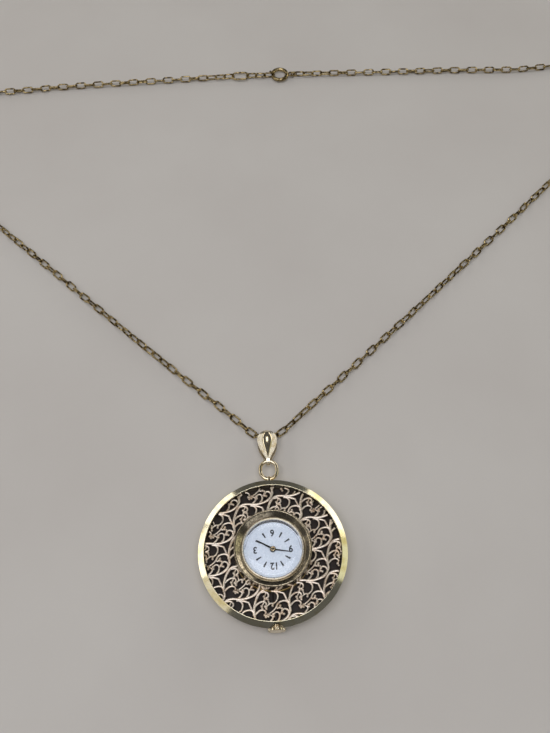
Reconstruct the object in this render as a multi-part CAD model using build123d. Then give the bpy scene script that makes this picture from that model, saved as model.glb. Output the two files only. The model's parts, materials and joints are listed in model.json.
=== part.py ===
from build123d import *
import math
import os

# Pendant watch: a round openwork case with a small mechanical watch in its middle,
# hung by a fixed loop and a folded bail on a long cable chain with a spring ring clasp.
# Millimetres. The origin is on the watch axis at the flat case back. +Z runs out of
# the dial, and +Y runs to the loop and the bail. The crown is at -Y.

os.makedirs("parts", exist_ok=True)

# Outer case: hoop, snap back and backing pan
case_diameter = 36.0
rim_draft = 1.0
rim_wall = 1.3
rim_lip = 0.35
rim_land = 0.25
rim_edge_height = 5.05
rim_height = 5.8
rim_lip_depth = 0.6
rim_base_height = 1.05
snap_step = 0.7
snap_depth = 0.95
back_margin = 0.1
back_bevel = 2.9
back_edge_height = 0.75
back_wall = 0.6
snap_wall = 0.5
snap_clearance = 0.05
pan_floor = 0.4
pan_clearance = 0.05

# Middle case, bezel and crystal, built outwards from the movement's plate
plate_diameter = 15.3
fit_clearance = 0.05
drum_wall = 0.9
drum_ledge = 0.4
drum_over_plate = 0.15
collar_step = 0.7
collar_height = 3.8
tube_bite = 0.6
bezel_wall = 0.7
bezel_height = 8.5
bezel_edge_bevel = 0.15
bezel_face = 1.9
bezel_dish = 0.75
lip_width = 0.4
lip_rise = 0.35
crystal_edge = 0.45
crystal_rise = 0.7
crystal_seat_width = 0.65

# Openwork sheet: one scroll motif repeated on a slanting lattice and cut to a ring
lace_thickness = 0.5
lace_edge_clearance = 0.15
lace_ring_width = 0.6
lace_origin_x = -9.5
lace_origin_y = 4.7
lace_across = 8.49
lace_up = 7.77
lace_across_degrees = 12.0
lace_up_degrees = 79.8
stem_width = 0.52
stroke_width = 0.4
bud_width = 0.74

# Crown, stem and keyless works
crown_diameter = 4.1
crown_root_diameter = 3.86
crown_grip = 0.75
crown_dome = 0.7
crown_dome_tip_diameter = 2.2
crown_flutes = 28
crown_gap = 0.15
crown_pocket_wall = 0.25
pinion_gap = 0.02
stem_diameter = 0.9
stem_tube_diameter = 1.24
stem_running_clearance = 0.05
stem_pilot_diameter = 0.5
stem_pilot_length = 0.7
stem_shoulder_inset = 0.1
clutch_diameter = 1.5
clutch_length = 1.4
clutch_gap = 0.12
clutch_groove = 0.4
clutch_groove_depth = 0.2
winding_pinion_diameter = 2.86
winding_pinion_length = 0.9
winding_pinion_teeth = 14
pull_travel = 0.6

# Fixed loop and folded bail
loop_reach = 3.74
loop_height = 3.0
loop_middle_diameter = 4.2
loop_wire = 1.0
loop_foot_diameter = 2.1
bail_length = 10.25
bail_width = 5.3
bail_tip_width = 1.4
bail_wall = 0.4
bail_wire_clearance = 0.25
bail_chain_clearance = 0.27
bail_rest_gap = 0.05
bail_boss_rise = 0.12
bail_boss_inset = 0.85

# Movement: two plates, three pillars, going train, balance
back_plate_clearance = 0.1
back_plate_height = 1.75
main_plate_thickness = 1.0
back_plate_thickness = 0.5
plate_gap = 2.5
end_shake = 0.03
pivot_clearance = 0.04
dial_thickness = 0.35
pillar_diameter = 1.2
pillar_degrees = (130.0, 20.0, 245.0)
screw_head_diameter = 1.1
screw_head_height = 0.22
screw_slot_width = 0.2
screw_slot_depth = 0.1
arbor_diameter = 0.3
centre_arbor_diameter = 0.4
balance_staff_diameter = 0.24
wheel_rim = 0.45
tooth_tip_share = 0.7
tooth_root_share = 0.9
small_sides = 12
inner_sides = 24
loop_steps = 10
ratchet_teeth = 26
crown_wheel_teeth = 24
winding_tooth_depth = 0.17
ratchet_thickness = 0.3
ratchet_gap = 0.05
crown_wheel_reach = 4.6
crown_screw_head_diameter = 1.8
click_degrees = 205.0
click_gap = 0.3
click_hub_diameter = 0.8
click_pin_diameter = 0.4
click_beak_gap = 0.03
click_beak_degrees = 34.0

# Gear modules and teeth of the train
barrel_module = 0.125
barrel_teeth = 48
centre_pinion_teeth = 8
centre_module = 0.107
centre_teeth = 48
third_pinion_teeth = 6
third_module = 0.093
third_teeth = 45
fourth_pinion_teeth = 6
fourth_module = 0.073
fourth_teeth = 48
escape_pinion_teeth = 6
escape_teeth = 15
escape_diameter = 2.5
barrel_direction_degrees = 200.0
third_direction_degrees = 60.0
fourth_direction_degrees = -20.0
escape_direction_degrees = -75.0
wheel_thickness = 0.15
centre_wheel_thickness = 0.2
barrel_height = 1.6
barrel_rim_height = 0.4
barrel_arbor_diameter = 1.0
balance_x = 3.4
balance_y = -3.95
balance_diameter = 4.0
balance_rim = 0.3
balance_thickness = 0.22
roller_diameter = 1.0
roller_pin_diameter = 0.12
roller_pin_circle_radius = 0.42
pallet_distance = 1.55
fork_width = 0.3
fork_slot_width = 0.2
spring_strip = 0.07
spring_height = 0.12
spring_inner_radius = 0.3
spring_outer_radius = 1.25
spring_turns = 3
cock_width = 1.6
cock_gap = 0.15

# Motion works under the dial, and the hands
motion_module = 0.125
hour_module = 0.1333
cannon_teeth = 8
minute_wheel_teeth = 24
minute_pinion_teeth = 6
hour_wheel_teeth = 24
motion_recess_depth = 0.68
motion_wheel_thickness = 0.18
motion_recess_clearance = 0.15
minute_direction_degrees = 0.0
cannon_diameter = 0.8
hour_pipe_diameter = 1.3
hour_hand_length = 4.1
minute_hand_length = 4.75
hand_width = 0.34
hand_thickness = 0.1
hand_hub_diameter = 1.5
minute_hub_diameter = 1.2
hand_gap = 0.14
hand_fit = 0.02
minute_hand_degrees = 120.0
hour_hand_degrees = 280.0

# Chain, its rings and the spring ring clasp
chain_width = 2.16
chain_rest_gap = 0.02
clasp_y = 163.4
left_end_x = -5.6
clasp_diameter = 6.2
clasp_tube = 1.2
clasp_mouth_degrees = 40.0
clasp_eye_diameter = 2.2
eye_bite = 0.1
eye_width = 0.45
ring_wire = 0.6
trigger_degrees = 32.0
tongue_diameter = 0.6
tongue_clearance = 0.05
tongue_hold_degrees = 26.0
mouth_gap_degrees = 1.5
post_width = 0.4
post_degrees = 10.0
slot_margin_degrees = 4.0
link_slack = 0.06
tail_links = 3
link_steps = 6
end_ring_length = 6.0
end_ring_width = 3.6
link_length = 3.9
link_pitch = 2.93
link_wire = 0.5
overrun = 1.0


def turned(profile):
    """A body turned about the watch axis from radius and height pairs."""
    outline = make_face(Plane.XZ * Polyline(*profile, close=True))
    return revolve(outline, Axis.Z)


def disc(diameter, low, high, x=0, y=0):
    """An upright cylinder from one height to another."""
    body = Cylinder(diameter / 2, high - low, align=(Align.CENTER, Align.CENTER, Align.MIN))
    return Pos(x, y, low) * body


def pin(diameter, low, high, x=0, y=0, bore=False, sides=small_sides):
    """A small upright pin with flats, or the hole that such a pin turns in."""
    outline = RegularPolygon(diameter / 2, sides, major_radius=not bore)
    return Pos(x, y, low) * extrude(outline, high - low)


def lying(diameter, start, end, height, bore=False):
    """A small pin along the stem, from one distance below the watch axis to a further one."""
    outline = RegularPolygon(diameter / 2, small_sides, major_radius=not bore)
    return Pos(0, -start, height) * Rot(90, 0, 0) * extrude(outline, end - start)


def lying_disc(diameter, start, end, height):
    """A cylinder along the stem."""
    body = Cylinder(diameter / 2, end - start, align=(Align.CENTER, Align.CENTER, Align.MIN))
    return Pos(0, -start, height) * Rot(90, 0, 0) * body


def polar(radius, degrees):
    angle = math.radians(degrees)
    return radius * math.cos(angle), radius * math.sin(angle)


def star(teeth, tip_radius, root_radius, phase_share=0):
    """The pointed outline of a gear: one tip and one root to each tooth."""
    points = []
    for k in range(2 * teeth):
        radius = root_radius if k % 2 else tip_radius
        points.append(polar(radius, 180 * (k + phase_share) / teeth))
    return make_face(Polyline(*points, close=True))


def meshing(degrees, teeth, next_teeth, phase_share=0):
    """The phase of the next gear, which lies that way, so that its teeth fall in the gaps."""
    return (((degrees + 180) * next_teeth + degrees * teeth) / 180 - 1 - phase_share) % 2


def toothed(teeth, module, low, high, phase_share=0):
    """A disc with pointed teeth round its pitch circle."""
    pitch_radius = teeth * module / 2
    outline = star(
        teeth,
        pitch_radius + tooth_tip_share * module,
        pitch_radius - tooth_root_share * module,
        phase_share,
    )
    return Pos(0, 0, low) * extrude(outline, high - low)


def band(points, start_width, end_width):
    """A stroke of the openwork: its middle line widened to both sides."""
    left, right = [], []
    last = len(points) - 1
    for k, (x, y) in enumerate(points):
        ax, ay = points[max(k - 1, 0)]
        bx, by = points[min(k + 1, last)]
        run = math.hypot(bx - ax, by - ay)
        nx, ny = -(by - ay) / run, (bx - ax) / run
        half = start_width / 2 if k < last else end_width / 2
        left.append((x + nx * half, y + ny * half))
        right.append((x - nx * half, y - ny * half))
    return make_face(Polyline(*left, *reversed(right), close=True))


def oval_ring(length, width, wire, steps=link_steps):
    """An oval link lying flat at the origin: six-sided wire round a many-sided oval."""
    straight = (length - width) / 2
    middle = (width - wire) / 2
    corners = []
    for k in range(2 * steps):
        x, y = polar(middle / math.cos(math.pi / 2 / steps), 180 * (k + 0.5) / steps - 90)
        corners.append((x + (straight if k < steps else -straight), y))
    path = Polyline(*corners, close=True)
    start = Plane(origin=path @ 0, z_dir=path % 0)
    return sweep(start * RegularPolygon(wire / 2, 6), path=path, transition=Transition.RIGHT)


def only_solid(shape):
    """The largest solid of a shape, without slivers that a cut leaves beside it."""
    return max(shape.solids(), key=lambda s: s.volume)


# Diameters that follow from the sizes above, outer case first
rim_seat_diameter = case_diameter - 2 * rim_draft
rim_inside_diameter = case_diameter - 2 * rim_wall
snap_bore_diameter = rim_inside_diameter - 2 * snap_step
back_edge_diameter = rim_seat_diameter - 2 * back_margin
back_flat_diameter = back_edge_diameter - 2 * back_bevel
lip_radius = rim_inside_diameter / 2 - rim_lip
drum_bore = plate_diameter / 2 + fit_clearance
drum_diameter = 2 * (drum_bore + drum_wall)
collar_diameter = drum_diameter + 2 * collar_step
bezel_diameter = drum_diameter + 2 * bezel_wall
lip_outer_diameter = bezel_diameter - 2 * bezel_face
crystal_diameter = lip_outer_diameter - 2 * lip_width
dial_opening_diameter = crystal_diameter - 2 * crystal_seat_width
dial_diameter = plate_diameter - 2 * fit_clearance
back_plate_diameter = 2 * (drum_bore - drum_ledge - back_plate_clearance)
pillar_circle_radius = (back_plate_diameter - pillar_diameter) / 2
stem_shoulder_radius = back_plate_diameter / 2 - stem_shoulder_inset
loop_centre_y = case_diameter / 2 + loop_reach

# Heights that follow
pan_seat_height = rim_base_height + snap_depth
back_low = back_plate_height
back_high = back_low + back_plate_thickness
main_low = back_high + plate_gap
main_high = main_low + main_plate_thickness
dial_low = main_high
dial_high = dial_low + dial_thickness
drum_height = main_high + drum_over_plate
lace_low = collar_height
lace_high = lace_low + lace_thickness
lip_high = bezel_height - bezel_dish + lip_rise
crystal_seat = lip_high - crystal_edge
ratchet_high = back_low - ratchet_gap
ratchet_low = ratchet_high - ratchet_thickness
stem_height = ratchet_high + pinion_gap + winding_pinion_diameter / 2
works_low = back_high + end_shake
works_high = main_low - end_shake

nodes = {}

# Hoop: polished bevel that falls outwards, walls that draw in to the back
rim = turned([
    (lip_radius, rim_height),
    (lip_radius + rim_land, rim_height),
    (case_diameter / 2, rim_edge_height),
    (rim_seat_diameter / 2, rim_base_height),
    (snap_bore_diameter / 2, rim_base_height),
    (snap_bore_diameter / 2, pan_seat_height),
    (rim_inside_diameter / 2, pan_seat_height),
    (rim_inside_diameter / 2, rim_height - rim_lip_depth),
    (lip_radius, rim_height - rim_lip_depth),
])
rim_envelope = turned([
    (0, rim_height),
    (lip_radius + rim_land, rim_height),
    (case_diameter / 2, rim_edge_height),
    (rim_seat_diameter / 2, rim_base_height),
    (0, rim_base_height),
])
pocket_radius = rim_inside_diameter / 2 + crown_pocket_wall
crown_inner = pocket_radius + stem_running_clearance
crown_edge = crown_inner + crown_grip
crown_end = crown_edge + crown_dome
rim -= lying_disc(crown_diameter + 2 * crown_gap, pocket_radius, case_diameter, stem_height)
rim -= lying_disc(stem_tube_diameter, snap_bore_diameter / 2 - overrun, pocket_radius + overrun, stem_height)
nodes["case_rim"] = rim

# Snap back: flat seat, coned edge and an upstanding ring that snaps into the hoop
snap_radius = snap_bore_diameter / 2 - snap_clearance
nodes["case_back"] = turned([
    (0, 0),
    (back_flat_diameter / 2, 0),
    (back_edge_diameter / 2, back_edge_height),
    (back_edge_diameter / 2, rim_base_height),
    (snap_radius, rim_base_height),
    (snap_radius, pan_seat_height - snap_clearance),
    (snap_radius - snap_wall, pan_seat_height - snap_clearance),
    (snap_radius - snap_wall, rim_base_height),
    (back_flat_diameter / 2, back_wall),
    (0, back_wall),
])

# Dark pan floor under the openwork, resting on the step inside the hoop
pan_high = pan_seat_height + pan_floor
nodes["backing_pan"] = turned([
    (collar_diameter / 2 + pan_clearance, pan_seat_height),
    (rim_inside_diameter / 2 - pan_clearance, pan_seat_height),
    (rim_inside_diameter / 2 - pan_clearance, pan_high),
    (collar_diameter / 2 + pan_clearance, pan_high),
])

# Middle case: a drum that stands on the snap back, and whose step carries the openwork
drum = turned([
    (drum_bore - drum_ledge, back_wall),
    (collar_diameter / 2, back_wall),
    (collar_diameter / 2, collar_height),
    (drum_diameter / 2, collar_height),
    (drum_diameter / 2, drum_height),
    (drum_bore, drum_height),
    (drum_bore, main_low),
    (drum_bore - drum_ledge, main_low),
])
tube_start = collar_diameter / 2 - tube_bite
drum -= lying(stem_diameter + 2 * stem_running_clearance, 0, collar_diameter, stem_height, bore=True)
drum -= lying_disc(stem_tube_diameter, tube_start, collar_diameter, stem_height)
nodes["centre_case"] = drum

# Bezel: tall ring with a dished face and a bright lip that holds the crystal
crystal_bore = crystal_diameter / 2 + fit_clearance / 2
nodes["bezel"] = turned([
    (bezel_diameter / 2, lace_high),
    (bezel_diameter / 2, bezel_height - bezel_edge_bevel),
    (bezel_diameter / 2 - bezel_edge_bevel, bezel_height),
    (lip_outer_diameter / 2, bezel_height - bezel_dish),
    (lip_outer_diameter / 2 - bezel_edge_bevel, lip_high),
    (crystal_bore, lip_high),
    (crystal_bore, crystal_seat),
    (dial_opening_diameter / 2, crystal_seat),
    (dial_opening_diameter / 2, dial_high + fit_clearance),
    (drum_diameter / 2 + fit_clearance, dial_high + fit_clearance),
    (drum_diameter / 2 + fit_clearance, lace_high),
])

# Crystal: flat under, and domed on top by a cap of a sphere
dome_low = crystal_seat + crystal_edge
half_crystal = crystal_diameter / 2
dome_radius = (half_crystal ** 2 + crystal_rise ** 2) / (2 * crystal_rise)
dome_centre = dome_low + crystal_rise - dome_radius
crystal_body = disc(crystal_diameter, crystal_seat, dome_low + crystal_rise)
nodes["crystal"] = crystal_body & (Pos(0, 0, dome_centre) * Sphere(dome_radius))

# Openwork motif, in shares of the lattice: a vine that swings across as an arc and turns
# down as a stem, an angular leaf window, a scroll, and sprays that end in buds
vine_shares = [
    (1.04, 0.1), (0.95, -0.09), (0.76, -0.17), (0.36, -0.09), (0.1, -0.07), (0, -0.24), (-0.04, -0.52),
    (0.04, -0.92),
]
window_shares = [(-0.62, -0.15), (-0.4, -0.21), (-0.215, -0.33), (-0.02, -0.66)]
vein_shares = [(-0.47, -0.18), (-0.38, -0.4), (-0.51, -0.55)]
scroll_shares = [(0.01, -0.78), (-0.16, -0.56), (-0.37, -0.6), (-0.3, -0.74)]
hook_shares = [(0.04, -0.1), (-0.06, 0.15), (-0.21, 0.12)]
spray_shares = [(-0.36, -0.16), (-0.26, 0.05), (-0.43, 0.15)]
outer_spray_shares = [(-0.62, -0.15), (-0.46, 0.01), (-0.6, 0.16)]
high_leaf_shares = [(0.04, -0.1), (0.29, -0.13), (0.25, -0.33)]
middle_leaf_shares = [(-0.04, -0.52), (0.17, -0.39), (0.29, -0.57)]
cell_middle_shares = (0.15, -0.35)
low_leaf_shares = [(0.01, -0.78), (0.19, -0.64), (0.31, -0.84)]


def lattice_point(column, row, shares):
    ax, ay = polar(lace_across, lace_across_degrees)
    bx, by = polar(lace_up, lace_up_degrees)
    a, b = column + shares[0], row + shares[1]
    return lace_origin_x + a * ax + b * bx, lace_origin_y + a * ay + b * by


def motif(column, row):
    """All strokes of one cell of the openwork."""
    strokes = [
        (vine_shares, stem_width, stem_width),
        (window_shares, stroke_width, stroke_width),
        (vein_shares, stroke_width, stroke_width),
        (scroll_shares, stroke_width, bud_width),
        (hook_shares, stroke_width, bud_width),
        (spray_shares, stroke_width, bud_width),
        (outer_spray_shares, stroke_width, bud_width),
        (high_leaf_shares, stroke_width, bud_width),
        (middle_leaf_shares, stroke_width, bud_width),
        (low_leaf_shares, stroke_width, bud_width),
    ]
    faces = []
    for shares, start_width, end_width in strokes:
        points = [lattice_point(column, row, s) for s in shares]
        faces.append(band(points, start_width, end_width))
    return faces


lace_radius = rim_inside_diameter / 2 - lace_edge_clearance
lace_bore_radius = drum_diameter / 2 + fit_clearance
strokes = []
reach = math.ceil(lace_radius / min(lace_across, lace_up)) + 2
for column in range(-reach, reach + 1):
    for row in range(-reach, reach + 1):
        x, y = lattice_point(column, row, cell_middle_shares)
        if math.hypot(x, y) < lace_radius + lace_across / 2:
            strokes += motif(column, row)
ring_face = Circle(lace_radius) - Circle(lace_bore_radius)
seat_face = Circle(lace_bore_radius + lace_ring_width) - Circle(lace_bore_radius)
lace_sketch = Sketch() + strokes
lace_sketch = (lace_sketch & ring_face) + seat_face
lace_face = max(lace_sketch.faces(), key=lambda f: f.area)
nodes["filigree"] = Pos(0, 0, lace_low) * extrude(lace_face, lace_thickness)

# Fixed loop brazed to the hoop
loop_radius = loop_middle_diameter / 2
loop = oval_ring(loop_middle_diameter + loop_wire, loop_middle_diameter + loop_wire, loop_wire, loop_steps)
foot_end = loop_centre_y - loop_radius
foot_start = case_diameter / 2 - overrun
foot = Cone(loop_foot_diameter / 2, loop_wire / 2, foot_end - foot_start,
            align=(Align.CENTER, Align.CENTER, Align.MIN))
foot = Pos(0, foot_start, loop_height) * Rot(-90, 0, 0) * foot
loop = Pos(0, loop_centre_y, loop_height) * loop + foot
nodes["case_loop"] = only_solid(loop - rim_envelope)

# Bail: one band folded round the loop's far side and round the chain
wire_y = loop_centre_y + loop_radius
small_bore = loop_wire / 2 + bail_wire_clearance
large_bore = chain_width / 2 + bail_chain_clearance
small_outer = small_bore + bail_wall
large_outer = large_bore + bail_wall
fold_distance = bail_length - small_outer - large_outer
fold_height = large_outer + bail_rest_gap
bail_lean = math.degrees(math.asin((loop_height - fold_height) / fold_distance))
fold_y = wire_y + fold_distance * math.cos(math.radians(bail_lean))


def folded(small_radius, large_radius):
    """The side outline of the fold: two arcs and the straights that touch both."""
    lean = math.degrees(math.asin((large_radius - small_radius) / fold_distance))
    ends = [
        (polar(small_radius, 90 + lean), 0),
        (polar(small_radius, -90 - lean), 0),
        (polar(large_radius, -90 - lean), fold_distance),
        (polar(large_radius, 90 + lean), fold_distance),
    ]
    a, b, c, d = [(p[0] + shift, p[1]) for p, shift in ends]
    outline = ThreePointArc(a, (-small_radius, 0), b) + Line(b, c)
    outline += ThreePointArc(c, (fold_distance + large_radius, 0), d) + Line(d, a)
    return make_face(outline)


def teardrop(width, tip_width, inset):
    """The front outline of the bail, broad at the fold and narrow at the loop."""
    broad = width / 2
    far = fold_distance + large_outer - inset
    near = -small_outer + inset
    lean = math.degrees(math.asin((broad - tip_width / 2) / (far - broad - near)))
    ux, uy = polar(broad, 90 + lean)
    vx, vy = polar(tip_width / 2, 90 + lean)
    top = ThreePointArc(
        (far - broad + ux, -uy), (far, 0), (far - broad + ux, uy),
    )
    sides = Polyline(
        (far - broad + ux, uy), (near + vx, vy), (near, 0), (near + vx, -vy),
        (far - broad + ux, -uy),
    )
    return make_face(top + sides)


half_bail = bail_width / 2
side_face = folded(small_outer, large_outer) - folded(small_bore, large_bore)
fold = extrude(Plane.XZ * side_face, half_bail, both=True)
front = extrude(teardrop(bail_width, bail_tip_width, 0), large_outer + overrun, both=True)
bail = fold & front
boss_lean = math.degrees(math.asin((large_outer - small_outer) / fold_distance))
boss_face = teardrop(bail_width - 2 * bail_boss_inset, bail_tip_width / 2, bail_boss_inset)
boss = extrude(boss_face, large_outer + bail_boss_rise)
boss_top = extrude(
    Plane.XZ * folded(small_outer + bail_boss_rise, large_outer + bail_boss_rise),
    half_bail, both=True,
)
hollow = extrude(Plane.XZ * folded(small_bore, large_bore), half_bail, both=True)
bail = only_solid(bail + ((boss & boss_top) - hollow))
nodes["bail"] = Pos(0, wire_y, loop_height) * Rot(-bail_lean, 0, 0) * Rot(0, 0, 90) * bail

# Winding stem, its tube, the crown and the winding pinions
tube = lying_disc(stem_tube_diameter, tube_start, pocket_radius, stem_height)
nodes["stem_tube"] = tube - lying(
    stem_diameter + 2 * stem_running_clearance, tube_start - overrun,
    pocket_radius + overrun, stem_height, bore=True,
)
crown_bottom = crown_inner + crown_grip / 2
pinion_outer = stem_shoulder_radius
pinion_inner = pinion_outer - winding_pinion_length
clutch_outer = pinion_inner - clutch_gap
clutch_inner = clutch_outer - clutch_length
square_diameter = stem_diameter * 0.75
stem = lying(stem_diameter, stem_shoulder_radius + clutch_gap, crown_bottom, stem_height)
stem += lying(square_diameter, clutch_inner - clutch_gap, stem_shoulder_radius + clutch_gap, stem_height)
stem += lying(stem_pilot_diameter, clutch_inner - clutch_gap - stem_pilot_length,
              clutch_inner - clutch_gap, stem_height)
nodes["winding_stem"] = stem

grip = Rot(90, 0, 0) * extrude(star(crown_flutes, crown_diameter / 2, crown_root_diameter / 2), crown_grip)
grip = Pos(0, -crown_inner, stem_height) * grip
cap = Cone(crown_root_diameter / 2, crown_dome_tip_diameter / 2, crown_dome,
           align=(Align.CENTER, Align.CENTER, Align.MIN))
cap = Pos(0, -crown_edge, stem_height) * Rot(90, 0, 0) * cap
crown = grip + cap - lying(stem_diameter, crown_inner - overrun, crown_bottom, stem_height)
nodes["crown"] = only_solid(crown)

slide_bore = square_diameter + 2 * pivot_clearance
winding = star(winding_pinion_teeth, winding_pinion_diameter / 2,
               winding_pinion_diameter / 2 - winding_tooth_depth)
winding = Rot(90, 0, 0) * extrude(winding, winding_pinion_length)
winding = Pos(0, -pinion_inner, stem_height) * winding
nodes["winding_pinion"] = winding - lying(
    slide_bore, pinion_inner - overrun, pinion_outer + overrun, stem_height, bore=True)
groove_start = clutch_inner + (clutch_length - clutch_groove) / 2
clutch = lying(clutch_diameter, clutch_inner, clutch_outer, stem_height)
groove = lying(clutch_diameter + overrun, groove_start, groove_start + clutch_groove, stem_height)
groove -= lying(clutch_diameter - 2 * clutch_groove_depth, groove_start, groove_start + clutch_groove, stem_height)
clutch -= groove
nodes["sliding_pinion"] = clutch - lying(
    slide_bore, clutch_inner - overrun, clutch_outer + overrun, stem_height, bore=True)

# Places of the train, worked out from teeth and modules
centre_to_barrel = (barrel_teeth + centre_pinion_teeth) * barrel_module / 2
barrel_x, barrel_y = polar(centre_to_barrel, barrel_direction_degrees)
centre_to_third = (centre_teeth + third_pinion_teeth) * centre_module / 2
third_x, third_y = polar(centre_to_third, third_direction_degrees)
third_to_fourth = (third_teeth + fourth_pinion_teeth) * third_module / 2
step_x, step_y = polar(third_to_fourth, fourth_direction_degrees)
fourth_x, fourth_y = third_x + step_x, third_y + step_y
fourth_to_escape = (fourth_teeth + escape_pinion_teeth) * fourth_module / 2
step_x, step_y = polar(fourth_to_escape, escape_direction_degrees)
escape_x, escape_y = fourth_x + step_x, fourth_y + step_y
to_balance = math.degrees(math.atan2(balance_y - escape_y, balance_x - escape_x))
step_x, step_y = polar(pallet_distance, to_balance)
pallet_x, pallet_y = escape_x + step_x, escape_y + step_y
motion_distance = (cannon_teeth + minute_wheel_teeth) * motion_module / 2
minute_x, minute_y = polar(motion_distance, minute_direction_degrees)
crown_wheel_y = -crown_wheel_reach
winding_distance = math.hypot(barrel_x, crown_wheel_y - barrel_y)
ratchet_module = 2 * winding_distance / (ratchet_teeth + crown_wheel_teeth)

# Plates and pillars
recess_floor = main_high - motion_recess_depth
hour_recess = hour_wheel_teeth * hour_module + 2 * motion_recess_clearance
minute_recess = minute_wheel_teeth * motion_module + 2 * motion_recess_clearance
main_plate = disc(plate_diameter, main_low, main_high)
main_plate -= pin(hour_recess, recess_floor, main_high + overrun, bore=True, sides=inner_sides)
main_plate -= disc(minute_recess, recess_floor, main_high + overrun, minute_x, minute_y)
main_plate -= pin(centre_arbor_diameter + 2 * pivot_clearance, main_low - overrun, main_high, bore=True)
nodes["main_plate"] = main_plate

window_half = winding_pinion_diameter / 2 + clutch_gap
window_low = pinion_inner - clutch_gap
back_plate = disc(back_plate_diameter, back_low, back_high)
back_plate -= pin(balance_diameter + 2 * cock_gap, back_low - overrun, back_high + overrun,
                  balance_x, balance_y, bore=True, sides=inner_sides)
pinion_window = Box(2 * window_half, back_plate_diameter, plate_gap,
                    align=(Align.CENTER, Align.MAX, Align.CENTER))
back_plate -= Pos(0, -window_low, back_low) * pinion_window
back_plate -= pin(barrel_arbor_diameter + 2 * pivot_clearance, back_low - overrun,
                  back_high + overrun, barrel_x, barrel_y, bore=True)
nodes["back_plate"] = only_solid(back_plate)

pillars = []
screws = []
for degrees in pillar_degrees:
    x, y = polar(pillar_circle_radius, degrees)
    pillars.append(pin(pillar_diameter, back_high, main_low, x, y))
    head = pin(screw_head_diameter, back_low - screw_head_height, back_low, x, y)
    slot = Box(screw_head_diameter + overrun, screw_slot_width, 2 * screw_slot_depth)
    screws.append(head - Pos(x, y, back_low - screw_head_height) * slot)
nodes["pillars"] = Compound(children=[p.solid() for p in pillars])
nodes["plate_screws"] = Compound(children=[s.solid() for s in screws])

# Balance cock: a tongue over the opening of the back plate, level with it
cock_turn = math.degrees(math.atan2(balance_y, balance_x))
plate_edge = back_plate_diameter / 2
balance_radius = math.hypot(balance_x, balance_y)
cock_low = back_low
tongue = Box(plate_edge, cock_width, back_plate_thickness,
             align=(Align.MIN, Align.CENTER, Align.MIN))
tongue = Pos(balance_radius - cock_width / 2, 0, cock_low) * tongue
cock = Rot(0, 0, cock_turn) * tongue
cock_limit = disc(drum_bore * 2 - 2 * drum_ledge - 2 * fit_clearance, cock_low, back_high)
cock &= cock_limit
nodes["balance_cock"] = only_solid(cock - pin(
    balance_staff_diameter + 2 * pivot_clearance, cock_low - overrun, back_high + overrun,
    balance_x, balance_y, bore=True,
))

# Barrel: closed drum with teeth round its lower edge
barrel_low = works_low
barrel_phase = meshing(barrel_direction_degrees, centre_pinion_teeth, barrel_teeth)
barrel = toothed(barrel_teeth, barrel_module, barrel_low, barrel_low + barrel_rim_height, barrel_phase)
drum_part = barrel_teeth * barrel_module - 4 * barrel_module
barrel += disc(drum_part, barrel_low + barrel_rim_height, barrel_low + barrel_height)
barrel -= pin(barrel_arbor_diameter + 2 * pivot_clearance, barrel_low - overrun,
              barrel_low + barrel_height + overrun, bore=True)
nodes["barrel"] = Pos(barrel_x, barrel_y, 0) * barrel

# Ratchet wheel with the barrel arbor, crown wheel and click, all under the back plate
ratchet = toothed(ratchet_teeth, ratchet_module, ratchet_low, ratchet_high)
nodes["ratchet_wheel"] = Pos(barrel_x, barrel_y, 0) * ratchet
nodes["barrel_arbor"] = pin(barrel_arbor_diameter, ratchet_high, works_high, barrel_x, barrel_y)
to_crown_wheel = math.degrees(math.atan2(crown_wheel_y - barrel_y, -barrel_x))
crown_wheel_phase = meshing(to_crown_wheel, ratchet_teeth, crown_wheel_teeth)
crown_wheel = toothed(crown_wheel_teeth, ratchet_module, ratchet_low, ratchet_high, crown_wheel_phase)
crown_wheel -= disc(barrel_arbor_diameter + 2 * pivot_clearance, ratchet_low - overrun,
                    ratchet_high + overrun)
nodes["crown_wheel"] = Pos(0, crown_wheel_y, 0) * crown_wheel
core = pin(barrel_arbor_diameter, ratchet_low - ratchet_gap, back_low, 0, crown_wheel_y)
core += pin(crown_screw_head_diameter, ratchet_low - screw_head_height, ratchet_low - ratchet_gap,
            0, crown_wheel_y)
nodes["crown_wheel_screw"] = core

# Click: a beak that rests at the ratchet teeth, on a shoulder screw
ratchet_tip = ratchet_teeth * ratchet_module / 2 + tooth_tip_share * ratchet_module
step_x, step_y = polar(ratchet_tip + click_gap + click_hub_diameter / 2, click_degrees)
click_x, click_y = barrel_x + step_x, barrel_y + step_y
beak_x, beak_y = polar(ratchet_tip + click_beak_gap, click_degrees + click_beak_degrees)
beak_x, beak_y = beak_x + barrel_x - click_x, beak_y + barrel_y - click_y
beak_turn = math.degrees(math.atan2(beak_y, beak_x))
beak_reach = math.hypot(beak_x, beak_y)
finger = make_face(Polyline(
    (0, click_hub_diameter / 2), (beak_reach, 0), (0, -click_hub_diameter / 2), close=True,
))
click = Pos(0, 0, ratchet_low) * extrude(finger, ratchet_thickness)
click = Rot(0, 0, beak_turn) * click + disc(click_hub_diameter, ratchet_low, ratchet_high)
click -= pin(click_pin_diameter + 2 * pivot_clearance, ratchet_low - overrun, ratchet_high + overrun, bore=True)
nodes["click"] = Pos(click_x, click_y, 0) * click
click_screw = pin(click_pin_diameter, ratchet_low - ratchet_gap, back_low)
click_screw += pin(click_hub_diameter, ratchet_low - screw_head_height, ratchet_low - ratchet_gap)
nodes["click_screw"] = Pos(click_x, click_y, 0) * click_screw


def arbor(diameter, x, y, low=works_low, high=works_high):
    return disc(diameter, low, high, x, y)


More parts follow.
